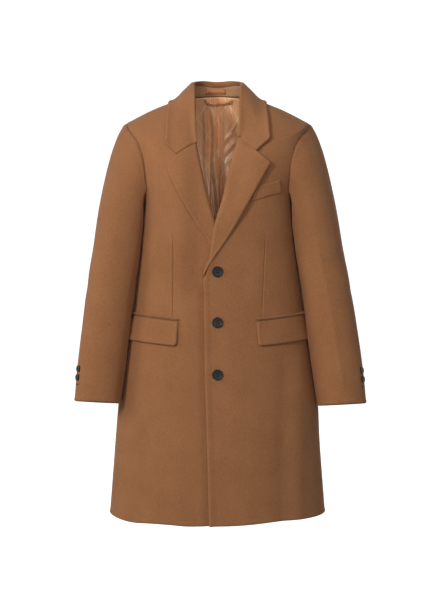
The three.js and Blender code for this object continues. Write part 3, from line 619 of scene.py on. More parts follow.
def clear_of_body(point, side):
    """Keeps a sleeve just clear of the body and of the pocket flap beside it."""
    ring = body_ring(point[..., 2])
    y, z = point[..., 1], point[..., 2]
    depth = np.where(y < 0, ring["front"], ring["back"])
    share = np.minimum(np.abs(y) / depth, 1)
    flap_room = FLAP_ROOM * smooth(-610, -575, z) * (1 - smooth(-495, -460, z))
    reach = ring["half"] * (1 - share ** ring["square"]) ** (1 / ring["square"])
    nearest = reach + SLEEVE_CLEAR + flap_room
    out = point[..., 0] * side
    soft = 5
    blend = np.maximum(soft - np.abs(out - nearest), 0)
    moved = np.maximum(out, nearest) + blend * blend / (4 * soft)
    clear = (z <= ARMHOLE_BOTTOM + 6) & (share < 1)
    result = point.copy()
    result[..., 0] = np.where(clear, side * moved, point[..., 0])
    return result


def arm_point(side, z, turn):
    """Point of the arm at a height. Turn 0 is its outer side and 90 its front."""
    value = {column: along(SLEEVE, "z", column, z) for column in SLEEVE if column != "z"}
    s, c = np.sin(np.radians(turn)), np.cos(np.radians(turn))
    n = value["square"]
    reach = (np.abs(s) ** n + np.abs(c) ** n) ** (-1 / n)
    turned = np.radians(value["turned"])
    out, ahead = reach * c * value["half"], reach * s * value["depth"]
    outward = out * np.cos(turned) - ahead * np.sin(turned)
    forward = ahead * np.cos(turned) + out * np.sin(turned)
    down = -np.asarray(z, float)
    near_cuff = smooth(500, 680, down)
    on_left = int(side > 0)
    outward = outward - CUFF_IN[on_left] * smooth(400, 560, down) * bump(turn, 180, 48)
    swing = on_left * LEFT_SWING * smooth(230, 700, down)
    slope = lerp(CUFF_SLOPE[1], CUFF_SLOPE[0], near_cuff)
    return np.stack(np.broadcast_arrays(
        side * (value["out"] + swing + outward),
        value["y"] - forward,
        z + slope * outward + FORWARD_SLOPE * forward - CUFF_DROP[on_left] * near_cuff,
    ), axis=-1)


# How the cap of a sleeve sets off: at the armhole's low end and at its top
CAP_OUT, CAP_AHEAD, CAP_DOWN = (0.3, 0.88), 0.35, (0.95, 0.46)
ARMHOLE_MIDDLE = (195, 5, -150)
# Last two rows of a sleeve, tucked in under the panels
TUCK_DIVE, TUCK_ALONG = 1.2, 1.5
TUCK_REACH, TUCK_REACH_TOP = 6, 1.8
TUCK_UP = 0.6


def cap_start(side, turn):
    """First point of the sleeve at the armhole and the way in which it sets off."""
    angle, level = armhole_at(turn)
    on_body, normal = body_point(side * angle, level), body_normal(side * angle, level)
    (next_angle, next_level), (last_angle, last_level) = armhole_at(turn + 1), armhole_at(turn - 1)
    rim = unit(body_point(side * next_angle, next_level) - body_point(side * last_angle, last_level))
    top = (1 + np.cos(np.radians(turn))) / 2
    way = unit(np.stack([
        side * lerp(*CAP_OUT, top),
        -CAP_AHEAD * np.sin(np.radians(turn)),
        -lerp(*CAP_DOWN, top),
    ], axis=-1))
    across = unit(np.cross(normal, rim))
    hole = np.array([side, 1, 1]) * ARMHOLE_MIDDLE - on_body
    across = np.where(dot(across, hole) < 0, -across, across)
    facing = unit(np.cross(way, rim))
    facing = np.where(dot(facing, hole) > 0, -facing, facing)
    leaves = smooth(-0.1, 0.3, dot(way, across))
    apart = GAP + WALL * np.maximum(0, dot(facing, across))
    start = on_body + across * apart * leaves + normal * 2 * GAP * (1 - leaves)
    dive = start - normal * (WALL + TUCK_DIVE) * leaves + across * TUCK_ALONG * (1 - leaves)
    reach = lerp(TUCK_REACH, TUCK_REACH_TOP, smooth(0.86, 1, top))[..., None]
    under = (on_body - across * reach - normal * (WALL - TUCK_UP)) * leaves
    under = under + (on_body - across * GAP - normal * WALL * TUCK_UP) * (1 - leaves)
    return {"start": start, "way": way, "tuck": np.stack([dive, under]), "normal": normal}


def sleeve_point(side, share, turn):
    """Point of a sleeve: 0 at the cuff, 1 at the armhole."""
    share, turn = np.broadcast_arrays(np.asarray(share, float), np.asarray(turn, float))
    z = lerp(CUFF, UPPER_ARM, np.minimum(share / (1 - CAP_SHARE), 1))
    lower = arm_point(side, z, turn)
    t = np.clip((1 - share) / CAP_SHARE, 0, 1)[..., None]
    begin = cap_start(side, turn)
    start, way = begin["start"], begin["way"]
    end = arm_point(side, UPPER_ARM, turn)
    down = unit(arm_point(side, UPPER_ARM - 1, turn) - end)
    length = np.linalg.norm(end - start, axis=-1, keepdims=True)
    cap = hermite(t, start, way * CAP_LEAVES * length, end, down * CAP_ARRIVES * length)
    in_arm = (share <= 1 - CAP_SHARE)[..., None]
    return clear_of_body(np.where(in_arm, lower, cap), side)


LONG_FOLDS, ELBOW_FOLDS, PUCKERS = 0.7, 0.8, 0.3
SLEEVE_HEAD = (1.1, 0.968, 0.018)       # height, share and width of the swell beside the armhole
CREASE, CREASE_TURN, CREASE_WIDTH = 3.6, 84, 15
PRESSED_IN, PRESSED_TURN, PRESSED_WIDTH = 0.8, 190, 62


def sleeve_folds(side, share, turn):
    """Soft swell of a sleeve that hangs, held in where it lies beside the body."""
    on_left = int(side > 0)
    phase = 0.7 * on_left
    around = np.radians(turn)
    long_folds = LONG_FOLDS * np.sin(around * 3 + phase + share * 2) * (1 - smooth(0.6, 0.9, share))
    elbow = ELBOW_FOLDS * bump(share, 0.4, 0.12) * np.sin(share * 34 + around * 1.6 + phase)
    puckers = PUCKERS * smooth(0.93, 0.985, share) * np.sin(around * 34)
    head = bumps(share, [SLEEVE_HEAD])
    ridge = CREASE * np.exp(-np.abs(turn - CREASE_TURN) / CREASE_WIDTH)
    crease = on_left * ridge * smooth(0.02, 0.1, share)
    beside = bump(turn, PRESSED_TURN, PRESSED_WIDTH)
    out = (long_folds + elbow + puckers + head + crease) * (1 - beside)
    return out - PRESSED_IN * beside * (1 - smooth(0.8, 0.9, share))


def sleeve_spot(side, share, turn, lift=0):
    """Point of a sleeve's cloth with its folds, and the way it faces."""
    share, turn = np.broadcast_arrays(np.asarray(share, float), np.asarray(turn, float))
    rise, around = 0.002, 0.5
    up = sleeve_point(side, np.minimum(1, share + rise), turn)
    up = up - sleeve_point(side, np.maximum(0, share - rise), turn)
    across = sleeve_point(side, share, turn + around) - sleeve_point(side, share, turn - around)
    normal = unit(np.cross(across, up)) * -side
    height = lift + sleeve_folds(side, share, turn)
    return sleeve_point(side, share, turn) + normal * np.asarray(height)[..., None], normal


SLEEVE_RUN, TOP_RUN, UNDER_RUN = 640, 190, 160
HIND_SEAM = (8, -52)            # its turn at the cuff and at the armhole
CAP_SINK = np.array([0.05, 0.15, 0.3, 0.5])


def sleeve_piece(front, top):
    share = edge_steps(SLEEVE_RUN)[:, None]
    hind = lerp(*HIND_SEAM, smooth(0.12, 1, share))
    if top:
        kind, sides = "top", ("seam", "none")
        turn = lerp(hind, FRONT_ARM_SEAM, edge_steps(TOP_RUN))
    else:
        kind, sides = "under", ("none", "seam")
        turn = lerp(FRONT_ARM_SEAM, 360 + hind, edge_steps(UNDER_RUN))
    points, normals = sleeve_spot(front["side"], share, turn)
    sunk = len(CAP_SINK)
    points[-sunk:] -= normals[-sunk:] * CAP_SINK[:, None, None]
    tucked = cap_start(front["side"], turn[-1])
    points = np.concatenate([points, tucked["tuck"]])
    normals = np.concatenate([normals, [tucked["normal"]] * 2])
    return cloth(f"sleeve_{kind}_{front['name']}_cloth", points, normals, WALL, ("edge", "none") + sides)


# Lapels and collar

NOTCH_SHARE = 0.56             # of a lapel's width, where the collar's end meets it
TUCK = 3.5                     # the top of a lapel goes in under the collar's end
LAPEL_BELLY = 2.2
LAPEL_STANDS = {"left": 9, "right": 4.2}
LAPEL_LENGTH, LAPEL_WIDTH = 330, 75
LAPEL_CORNER = 7
TUCK_SINK = 2


def lapel_height(front, q):
    """How far a lapel stands off its front, across its width."""
    return LAPEL_BELLY * np.sin(np.pi * q) + LAPEL_STANDS[front["name"]] * smooth(0.3, 1, q)


def gorge_line(lapel, first, last, share, tucked):
    """Top edge of a lapel: to the notch under the collar's end, and from there to the tip."""
    corner = np.array(lapel["notch"], float)
    inside = lerp(first, corner, share / NOTCH_SHARE)
    outside = lerp(corner, last, (share - NOTCH_SHARE) / (1 - NOTCH_SHARE))
    along_gorge = corner - first[0]
    under_collar = np.array([-along_gorge[1], along_gorge[0]]) / np.linalg.norm(along_gorge)
    return np.where(share < NOTCH_SHARE, inside, outside) + TUCK * under_collar * tucked


def lapel_plan(front, t, q, tucked):
    """Places out and up on a lapel seen from the front: t up it and q out from the roll line."""
    lapel = front["lapel"]
    rows = lapel["rows"]
    roll_z = lerp(rows["z"][0], lapel["gorge"][1], t)
    roll = np.stack([along(front["edge"], "z", "out", roll_z), roll_z], axis=-1)
    edge_at = lerp(rows["z"][0], rows["z"][-1], t)
    edge = np.stack([along(rows, "z", column, edge_at) for column in ("edge_out", "edge_z")], axis=-1)
    share = q[0][:, None]
    top = gorge_line(lapel, roll[-1], edge[-1], share, tucked[0][:, None])
    shift = top - lerp(roll[-1], edge[-1], share)
    plan = lerp(roll, edge, q[..., None]) + shift[None] * smooth(0.8, 1, t)[..., None]
    flat = np.concatenate([plan, np.zeros_like(plan[..., :1])], axis=-1)
    return rounded(flat, ((True, True),), LAPEL_CORNER)[..., :2]


def lapel_piece(front):
    """A lapel, turned back along the roll line and standing a little off its front."""
    t = edge_steps(LAPEL_LENGTH, FINE_PITCH)[:, None]
    q = np.unique(np.append(edge_steps(LAPEL_WIDTH, FINE_PITCH), NOTCH_SHARE))[None, :]
    tucked = 1 - smooth(NOTCH_SHARE - 0.05, NOTCH_SHARE, q)
    plan = lapel_plan(front, t, q, tucked)
    angle, level = locate(plan[..., 0], plan[..., 1])
    away = np.linalg.norm(plan - plan[:, :1], axis=-1)
    stands = lapel_height(front, q) * smooth(-345, -250, plan[..., 1])
    low = stands + lerp(-WALL, LAPEL_LIFT, smooth(0, 3.2, away))
    high = stands + lerp(-0.6, LAPEL_LIFT + DOUBLE, smooth(-1, 5, away))
    lower, normals = front_spot(front, angle, level, low)
    upper, _ = front_spot(front, angle, level, high)
    run_up, run_down = run_of(upper, 0)
    run_in, run_out = run_of(upper, 1)
    sunk = -TUCK_SINK * (1 - smooth(TUCK, TUCK + 2.5, run_down)) * tucked
    height = border_height(run_out, "edge", DOUBLE)
    height = height + lerp(border_height(run_down, "edge", DOUBLE), sunk, tucked)
    upper = upper + normals * height[..., None]
    return shell(f"lapel_{front['name']}_cloth", upper, lower, np.stack([run_in, run_up], axis=-1))


def nearest_place(points):
    """Nearest place on the body to each point, from a coarse look and then finer ones."""
    flat = points.reshape(-1, 3)
    side = np.where(flat[:, 0] < 0, -1, 1)
    angles, levels = np.meshgrid(np.linspace(0, BACK, 31), np.linspace(-170, 30, 21))
    angles, levels = angles.ravel(), levels.ravel()
    known = body_point(angles, levels)
    mirrored = flat * np.stack([side, np.ones_like(side), np.ones_like(side)], axis=-1)
    far = np.linalg.norm(mirrored[:, None] - known[None], axis=-1)
    best = np.argmin(far, axis=1)
    angle, level = angles[best], levels[best]
    turn, rise, finest = 3.0, 5.0, 0.02
    steps = (-1, -0.5, 0, 0.5, 1)
    offsets = [(i, j) for i in steps for j in steps]
    while turn > finest:
        tried = np.array([(angle + i * turn, level + j * rise) for i, j in offsets])
        gaps = np.linalg.norm(body_point(tried[:, 0], tried[:, 1]) - mirrored, axis=-1)
        chosen = np.argmin(gaps, axis=0)
        angle = tried[chosen, 0, np.arange(len(flat))]
        level = tried[chosen, 1, np.arange(len(flat))]
        turn, rise = turn * 0.6, rise * 0.6
    shape = points.shape[:-1]
    return (angle * side).reshape(shape), level.reshape(shape)


def by_side(w, line_of):
    """Points at w, each from the line of its own side: below 0 is the wearer's right."""
    points = np.empty((len(w), 3))
    for front in FRONTS:
        chosen = (w < 0) == (front["side"] < 0)
        points[chosen] = line_of(front)[chosen]
    return points


def collar_line(w, part):
    """Fold or outer edge of the collar at w, from -1 on the wearer's right to 1."""
    def line_of(front):
        end = front["lapel"]["gorge" if part == "fold" else "collar_tip"]
        last, _ = front_spot(front, *locate(*end), GAP + DOUBLE)
        columns = []
        for axis, letter in enumerate("xyz"):
            values = COLLAR[part + letter]
            first = -values[1] if axis == 0 else values[1]
            sign = front["side"] if axis == 0 else 1
            rows = {
                "w": np.concatenate([[-COLLAR["w"][1]], COLLAR["w"], [1]]),
                "value": np.concatenate([[first], values, [last[axis] * sign]]),
            }
            columns.append(along(rows, "w", "value", np.abs(w)) * sign)
        return np.stack(columns, axis=-1)

    return by_side(w, line_of)


def end_bend(w, t):
    """Bend of the collar's end at t from the fold, so that it meets the lapel up to the notch."""
    def line_of(front):
        lapel = front["lapel"]
        fold, corner, tip = (front_spot(front, *locate(*lapel[key]), GAP + DOUBLE)[0]
                             for key in ("gorge", "notch", "collar_tip"))
        if t < CORNER_SHARE:
            target = lerp(fold, corner, t / CORNER_SHARE)
        else:
            target = lerp(corner, tip, (t - CORNER_SHARE) / (1 - CORNER_SHARE))
        return (target - lerp(fold, tip, t)) * smooth(0.8, 1, np.abs(w))[:, None]

    return by_side(w, line_of)


def neck_seam(w):
    """Neck seam at w, on the edge of the fronts and backs."""
    share = np.abs(w)

    def line_of(front):
        round_back = front["side"] * lerp(BACK, SIDE, np.minimum(share / NECK_POINT_W, 1))
        behind, _ = body_spot(round_back, np.full(len(w), float(NECK)))
        on_front = np.clip((1 - share) / (1 - NECK_POINT_W), 0, 1)
        ahead, _ = front_spot(front, *neckline_at(front, on_front))
        return np.where((share <= NECK_POINT_W)[:, None], behind, ahead)

    return by_side(w, line_of)


COLLAR_WALL = 3
STAND_WALL = 2.4
CORNER_SHARE = 0.6             # of the fall's width, where its end reaches the notch
STAND_STEPS = 8
TURN_STEPS = 10
COLLAR_RUN, FALL_RUN, COLLAR_PITCH = 520, 75, 4.5
COLLAR_CORNER = 6
STAND_END = 0.9                # where the stand ends, beside the lapels
FOLD_WIDTH, FOLD_DROP, STAND_DROP = 9.6, 5, 14
FALL_OFF, FALL_OFF_AHEAD = 1.2, 5.5


def fold_rows(before, after, lift):
    """Rows of points over the collar's fold."""
    rows = []
    for t in np.linspace(0, 1, TURN_STEPS + 1):
        rows.append(before * (1 - t) ** 3 + (before + lift) * 3 * t * (1 - t) ** 2
                    + (after + lift) * 3 * t * t * (1 - t) + after * t ** 3)
    return rows


def fall_height(w, t):
    """How far the fall stands off at t from the fold. Its ends lie on the lapels."""
    stands_off = FALL_OFF + FALL_OFF_AHEAD * smooth(0.4, 1, t) * smooth(0.5, 0.75, np.abs(w))
    q = min(t / CORNER_SHARE, 1) * NOTCH_SHARE
    at_gorge = LAPEL_LIFT + np.where(w < 0, lapel_height(RIGHT, q), lapel_height(LEFT, q))
    at_end = smooth(0.85, 1, np.abs(w)) * (1 - smooth(CORNER_SHARE, 1, t))
    return lerp(stands_off, at_gorge, at_end)


def fall_rows(w, after, edge):
    """Rows of points down the fall, which comes to lie on the coat towards its edge and ends."""
    rows = []
    reach = smooth(0.75, 1, np.abs(w))
    for t in edge_steps(FALL_RUN, FINE_PITCH)[RIM + 1:]:
        free = lerp(after, edge, t) + end_bend(w, t)
        laid, normal = body_spot(*nearest_place(free), DOUBLE + fall_height(w, t))
        sunk = np.where(w < 0, lap_depth(RIGHT, laid), 0) * reach
        laid = laid - normal * sunk[:, None]
        rows.append(lerp(free, laid, np.maximum(smooth(0.35, 1, t), reach)[:, None]))
    return rows


def collar_points(w):
    """Rows of points up the stand, over the fold and down the fall, with their walls."""
    fold, edge, foot = collar_line(w, "fold"), collar_line(w, "edge"), neck_seam(w)
    height = np.linalg.norm(fold - foot, axis=-1, keepdims=True)
    up = unit(fold - foot)
    outwards = edge - fold
    outwards = unit(outwards - up * dot(outwards, up))
    width = np.minimum(FOLD_WIDTH, 2.5 + 0.3 * height)
    drop = np.minimum(FOLD_DROP, 0.5 * height)
    seam = fold - up * np.minimum(STAND_DROP, 0.85 * height)
    before = fold - up * drop
    after = before + outwards * width
    base = foot + up * np.minimum(GAP * 2, 0.05 * height)
    stand = [lerp(base, seam, t) for t in np.linspace(0, 1, STAND_STEPS + 1)]
    rows = stand + fold_rows(before, after, up * drop / 0.75) + fall_rows(w, after, edge)
    return np.stack(rows, axis=1), np.minimum(COLLAR_WALL, 0.38 * width)[:, 0]


def collar_pieces():
    w = lerp(-1, 1, edge_steps(COLLAR_RUN, COLLAR_PITCH))
    points, turn_wall = collar_points(w)
    fall = rounded(points[:, STAND_STEPS:], ((False, True), (True, True)), COLLAR_CORNER)
    thick = np.full(fall.shape[:2], float(COLLAR_WALL))
    turned = TURN_STEPS + 3
    fuller = smooth(TURN_STEPS, turned, np.arange(turned))
    thick[:, :turned] = lerp(turn_wall[:, None], COLLAR_WALL, fuller)
    normals = grid_normals(fall)
    pieces = [cloth("collar_fall_cloth", fall, normals, thick, ("edge", "edge", "none", "edge"))]
    stand = points[np.abs(w) < STAND_END, :STAND_STEPS + 1]
    normals = grid_normals(stand)
    borders = ("none", "none", "none", "pressed")
    pieces.append(cloth("collar_stand_cloth", stand, normals, STAND_WALL, borders))
    return pieces


# Pockets

def strip_grid(drops):
    """Angles and levels of a strip that starts at the flap's inner end and runs round the body."""
    start_angle, start_level = (float(value) for value in locate(FLAP["out"], FLAP["z"]))
    angles = np.linspace(start_angle, start_angle + 90, 2000)
    ring = body_point(angles, start_level)
    run = np.concatenate([[0], np.cumsum(np.linalg.norm(np.diff(ring, axis=0), axis=-1))])
    distances = edge_steps(FLAP["length"], FINE_PITCH) * FLAP["length"]
    level = start_level + FLAP["rise"] * distances - drops[:, None]
    return np.broadcast_to(np.interp(distances, run, angles), level.shape), level


def flap_piece(front):
    drops = edge_steps(FLAP["depth"], FINE_PITCH) * FLAP["depth"]
    off = lerp(*FLAP_OFF, smooth(0, FLAP["depth"], drops))[:, None]
    points, normals = front_spot(front, *strip_grid(drops), GAP + FLAP_WALL + off)
    points = rounded(points, ((True, False), (True, True)), FLAP["corner"])
    name = f"pocket_flap_{front['name']}_cloth"
    return cloth(name, points, normals, FLAP_WALL, ("seam", "edge", "edge", "edge"))


def jet_piece(front):
    drops = edge_steps(JET - GAP, JET_PITCH) * (JET - GAP) - JET
    round_over = np.sin(np.linspace(0, np.pi, len(drops)))[:, None]
    points, normals = front_spot(front, *strip_grid(drops), GAP + JET_WALL + JET_SWELL * round_over)
    name = f"pocket_jet_{front['name']}_cloth"
    return cloth(name, points, normals, JET_WALL, ("seam", "seam", "edge", "edge"))


def welt_piece():
    top_in, top_out, low_in, low_out = (np.array(corner, float) for corner in WELT)
    down = edge_steps(*WELT_DOWN)[:, None, None]
    over = edge_steps(*WELT_OVER)[None, :, None]
    plan = lerp(lerp(top_in, top_out, over), lerp(low_in, low_out, over), down)
    angle, level = locate(plan[..., 0], plan[..., 1])
    points, normals = front_spot(LEFT, angle, level, GAP + WELT_OFF)
    return cloth("chest_welt_cloth", points, normals, WELT_WALL, ("edge", "seam", "edge", "edge"))


# Lining, label and hanging loop

LINING_HEM, LINING_NECK = -915, -60
LINING_WALL, LINING_CLOSE = 1, 0.6
LINING_OFF = (1.5, 2.6)         # off the back at the neck and below it
# Height, distance from the middle and width of the long folds
LINING_RIDGES = ((7, -30, 5), (9, -9, 6), (7, 9, 4), (-4, -19, 3.5), (-4, 1, 2.5))
SLANT_FOLD = ((5.5, 3, 3.5), (-4, -2.5, 2.2))
FOLD_LINE_Z = (-58, -43, -1, 14)
FOLD_LINE_X = (33, 40, 27, 22)
PLEAT, GATHERS, SLACK, OUTER_FOLDS = 8, 1.6, 2, 1.3


def lining_height(x, z):
    """Gathers at the neck, long folds below them and the pleat down the middle."""
    shown = 1 - smooth(-40, 8, z)
    lean = x + 0.05 * (z + 60) + 2 * np.sin(z * 0.035)
    outside = OUTER_FOLDS * (1 + np.cos((np.abs(x) - 46) * 0.24)) * smooth(38, 52, np.abs(x))
    upper = smooth(-135, -95, z)
    ridges = bumps(lean, LINING_RIDGES) * lerp(0.45, 1, upper)
    fold = bumps(x - np.interp(z, FOLD_LINE_Z, FOLD_LINE_X), SLANT_FOLD) * smooth(-66, -54, z)
    slack = (SLACK * np.sin((x - z) * 0.21) * smooth(12, 24, x)
             * smooth(-150, -120, z) * (1 - smooth(-75, -60, z)))
    pleat = PLEAT * (smooth(-20, -13, x) - smooth(3.5, 6.5, x)) * (1 - upper)
    gathers = GATHERS * np.sin(x * 0.95 + 0.5 * np.sin(x * 0.31)) * bump(z, 4, 13)
    return (ridges + outside + fold + slack) * shown + pleat + gathers


def lining_lines():
    """Levels up the lining's middle, and angles and levels up its outer line."""
    corner_level = float(armhole_at(BACK_TURN)[1])
    low = np.concatenate([np.linspace(LINING_HEM, -270, 50), np.linspace(-265, corner_level, 12)])
    t = np.linspace(0, 1, 75)[1:]
    high_angle, high_level = armhole_at(lerp(BACK_TURN, 360, t))
    s = np.linspace(0, 1, 30)[1:]
    level = np.concatenate([low, lerp(corner_level, LINING_NECK, t), lerp(LINING_NECK, NECK, s)])
    outer_angle = np.concatenate([np.full(len(low), BACK_SEAM), high_angle, np.full(len(s), SIDE + 1.0)])
    outer_level = np.concatenate([low, high_level, lerp(TIP, NECK, s)])
    return [line[:, None] for line in (level, outer_angle, outer_level)]


def lining_piece():
    """Lining of the back in one piece, with finer steps about its pleat."""
    level, outer_angle, outer_level = lining_lines()
    fine_from = 0.7
    wide = np.linspace(0, fine_from, 36)[:-1]
    share = np.concatenate([wide, np.linspace(fine_from, 2 - fine_from, 111), 2 - wide[::-1]])
    half = np.minimum(share, 2 - share)
    angle = lerp(outer_angle, BACK, half)
    angle = np.where(share > 1, BACK * 2 - angle, angle)
    points, normals = body_spot(angle, lerp(outer_level, level, half))
    away = lerp(*LINING_OFF, smooth(3, 45, -level))
    sewn = smooth(0, 0.12, half) * smooth(-2, 8, -level)
    height = WALL + away + lining_height(points[..., 0], points[..., 2]) * sewn
    points = points - normals * height[..., None]
    return cloth("lining_back_cloth", points, normals, LINING_WALL, ("none",) * 4, LINING_CLOSE)


LABEL_WALL = 1
LABEL_ALONG, LABEL_UP = (-0.121, 0.083, 25), (0.16, 0.5, 10)    # from, to and steps on the stand


def label_piece():
    w = np.linspace(*LABEL_ALONG)
    foot, head = neck_seam(w), collar_line(w, "fold")
    points = np.stack([lerp(foot, head, q) for q in np.linspace(*LABEL_UP)], axis=1)
    normals = grid_normals(points)
    points = points + normals * (3 * GAP + LABEL_WALL)
    return cloth("neck_label_cloth", points, normals, LABEL_WALL, ("edge",) * 4)


def ring_quads(count, around):
    """Faces between rings of points, and the numbers of the points and of their neighbours."""
    grid = np.arange(count * around).reshape(count, around)
    after = np.roll(grid, -1, axis=1)
    quads = np.stack([grid[:-1], after[:-1], after[1:], grid[1:]], axis=-1)
    return quads.reshape(-1, 4).tolist(), grid, after


def ring_mesh(name, rings, ends):
    """Mesh through rings of points, closed by one point at each end."""
    count, around = rings.shape[:2]
    quads, grid, after = ring_quads(count, around)
    first, last = count * around, count * around + 1
    caps = [(first, after[0, i], grid[0, i]) for i in range(around)]
    caps += [(last, grid[-1, i], after[-1, i]) for i in range(around)]
    return mesh_object(name, np.concatenate([rings.reshape(-1, 3), ends]) * MM, quads + caps)


def tube(name, path, radius, around=10):
    """Round cord along a path, closed at both ends."""
    forward = unit(np.gradient(path, axis=0))
    side = unit(np.cross(forward, (0.3, 1, 0.2)))
    other = np.cross(forward, side)
    turn = np.linspace(0, 2 * np.pi, around, endpoint=False)
    ring = (side[:, None] * np.cos(turn)[None, :, None] + other[:, None] * np.sin(turn)[None, :, None])
    return ring_mesh(name, path[:, None] + ring * radius, np.stack([path[0], path[-1]]))


def curve_through(places, count):
    """Smooth path through a few points."""
    places = np.array(places, float)
    run = np.concatenate([[0], np.cumsum(np.linalg.norm(np.diff(places, axis=0), axis=-1))])
    at = np.linspace(0, run[-1], count)
    rows = {"run": run, "x": places[:, 0], "y": places[:, 1], "z": places[:, 2]}
    return np.stack([along(rows, "run", axis, at) for axis in "xyz"], axis=-1), at


def joined(name, pieces):
    """One object from several meshes."""
    with bpy.context.temp_override(active_object=pieces[0], selected_editable_objects=pieces,
                                   selected_objects=pieces):
        bpy.ops.object.join()
    pieces[0].name = name
    return pieces[0]


HANGER = table("angle level off", [
    (205, -2, 0.7), (198, -9, 1.6), (186, -12, 2.4), (172, -10, 2.4), (160, -7, 1.6), (152, -2, 0.7),
])
HANGER_FACE = WALL + 8.5
HANGER_STEPS = 150
STRAND, TWIST = 0.95, 0.62      # radius of a cord, and its turn for each millimetre
WRAPS = ((8, 14, 20), (118, 126, 134))    # steps at which each end is wound round
WRAP_STRAND, WRAP_REACH, WRAP_LEAN = 0.7, 2.3, 4


def hanger_piece():
    """Loop of two cords twisted together, wound round itself where it is sewn on."""
    spots = HANGER["angle"], HANGER["level"]
    places = body_point(*spots) - body_normal(*spots) * (HANGER_FACE + HANGER["off"])[:, None]
    path, run = curve_through(places, HANGER_STEPS)
    forward = unit(np.gradient(path, axis=0))
    side = unit(np.cross(forward, (0, 1, 0)))
    other = np.cross(forward, side)
    middle = bump(run, run[-1] * 0.42, run[-1] * 0.13)[:, None]
    strands = []
    for strand in range(2):
        twist = run * TWIST + strand * np.pi
        apart = STRAND * (1 - 0.55 * middle)
        offset = side * np.cos(twist)[:, None] + other * np.sin(twist)[:, None]
        strands.append(tube(f"strand_{strand}", path + offset * apart, STRAND))
    turn = np.linspace(0, 2 * np.pi, 25)[:, None]
    lean = (turn / (2 * np.pi) - 0.5) * WRAP_LEAN
    for end, steps in enumerate(WRAPS):
        for i in steps:
            ring = (side[i] * np.cos(turn) + other[i] * np.sin(turn)) * WRAP_REACH
            strands.append(tube(f"wrap_{end}_{i}", path[i] + ring + forward[i] * lean, WRAP_STRAND, 8))
    return joined("hanger_loop_cord", strands)


# Buttons

BUTTON_PROFILE = table("out height", [
    (0, 0.66), (0.2, 0.66), (0.45, 0.69), (0.6, 0.71), (0.68, 0.76), (0.74, 0.88), (0.8, 0.97),
    (0.87, 1), (0.94, 0.97), (0.985, 0.86), (1, 0.7), (1, 0.35), (0.96, 0.1), (0.86, 0), (0, 0),
])
HOLE_REACH, HOLE_SIZE, HOLE_DEPTH = 0.24, 0.1, 0.6
DISH_ROWS, DISH_OUT, DISH_STEPS = 4, 0.6, 31    # the dished middle is drawn with finer rings
BUTTON_AROUND = 72
FRONT_BUTTONS = {"z": (-401, -513.5, -628), "size": (12, 4)}    # radius and thickness
CUFF_BUTTONS = {"above": (52, 70.5), "turn": 24, "size": (7.75, 3)}
BAR_ABOVE, BAR_ROWS, BAR_APART = 35.5, 3, 1.1
BAR_TURNS, BAR_STRAND, BAR_LIFT = (18, 30, 20), 0.5, 0.35


def button_mesh(name, radius, thick):
    """Button with a raised rim and four holes, its back on the XY plane."""
    out, height = BUTTON_PROFILE["out"], BUTTON_PROFILE["height"]
    dish = np.linspace(0, DISH_OUT, DISH_STEPS)[1:]
    outs = np.concatenate([dish, out[DISH_ROWS:-1]])
    dished = np.interp(dish, out[:DISH_ROWS], height[:DISH_ROWS])
    heights = np.concatenate([dished, height[DISH_ROWS:-1]])
    turn = np.linspace(0, 2 * np.pi, BUTTON_AROUND, endpoint=False)
    x, y = outs[:, None] * np.cos(turn), outs[:, None] * np.sin(turn)
    z = np.repeat(heights[:, None], BUTTON_AROUND, axis=1)
    for corner in (45, 135, 225, 315):
        at = math.radians(corner)
        far = np.hypot(x - HOLE_REACH * math.cos(at), y - HOLE_REACH * math.sin(at))
        hole = 1 - smooth(HOLE_SIZE * 0.7, HOLE_SIZE * 1.15, far)
        z = z - HOLE_DEPTH * hole * (heights[:, None] > 0.5)
    rings = np.stack([x * radius, y * radius, z * thick], axis=-1)
    return ring_mesh(name, rings, [(0, 0, heights[0] * thick), (0, 0, 0)])


def thread_mesh(name, radius, thick):
    """Two bars of thread through the holes of a button."""
    reach = HOLE_REACH * radius * math.sqrt(0.5)
    strands = []
    for side in (-1, 1):
        for strand in (-1, 0, 1):
            t = np.linspace(-1, 1, 15)
            path = np.stack([
                side * reach + strand * radius * 0.035 + 0 * t,
                t * reach,
                thick * (0.74 - 0.34 * smooth(0.72, 1, np.abs(t))) + 0 * t,
            ], axis=-1)
            strands.append(tube(f"{name}_{side}_{strand}", path, radius * 0.03, 6))
    return joined(name, strands)


def place(obj, point, normal):
    """Turns a piece made on the XY plane to lie on a surface."""
    turn = Vector((0, 0, 1)).rotation_difference(Vector(normal))
    obj.data.transform(Matrix.Translation(Vector(point) * MM) @ turn.to_matrix().to_4x4())
    return obj


def cuff_share(above):
    """Share along a sleeve of a place this far above the cuff."""
    return above / (UPPER_ARM - CUFF) * (1 - CAP_SHARE)


def button_spots():
    """Name, radius, thickness, point and normal of each button."""
    spots = []
    for i, z in enumerate(FRONT_BUTTONS["z"]):
        spot = front_spot(LEFT, *locate(0, z), GAP)
        spots.append((f"front_button_{i + 1}", *FRONT_BUTTONS["size"], *spot))
    for front in FRONTS:
        for i, above in enumerate(CUFF_BUTTONS["above"]):
            spot = sleeve_spot(front["side"], cuff_share(above), CUFF_BUTTONS["turn"], GAP)
            spots.append((f"cuff_button_{front['name']}_{i + 1}", *CUFF_BUTTONS["size"], *spot))
    return spots


def cuff_bar(front):
    """Short row of stitches under the buttons of a cuff."""
    strands = []
    for row in range(BAR_ROWS):
        share = cuff_share(BAR_ABOVE + row * BAR_APART)
        path, _ = sleeve_spot(front["side"], share, np.linspace(*BAR_TURNS), BAR_LIFT)
        strands.append(tube(f"stitch_{row}", path, BAR_STRAND, 6))
    return joined(f"cuff_bar_{front['name']}", strands)


# Materials

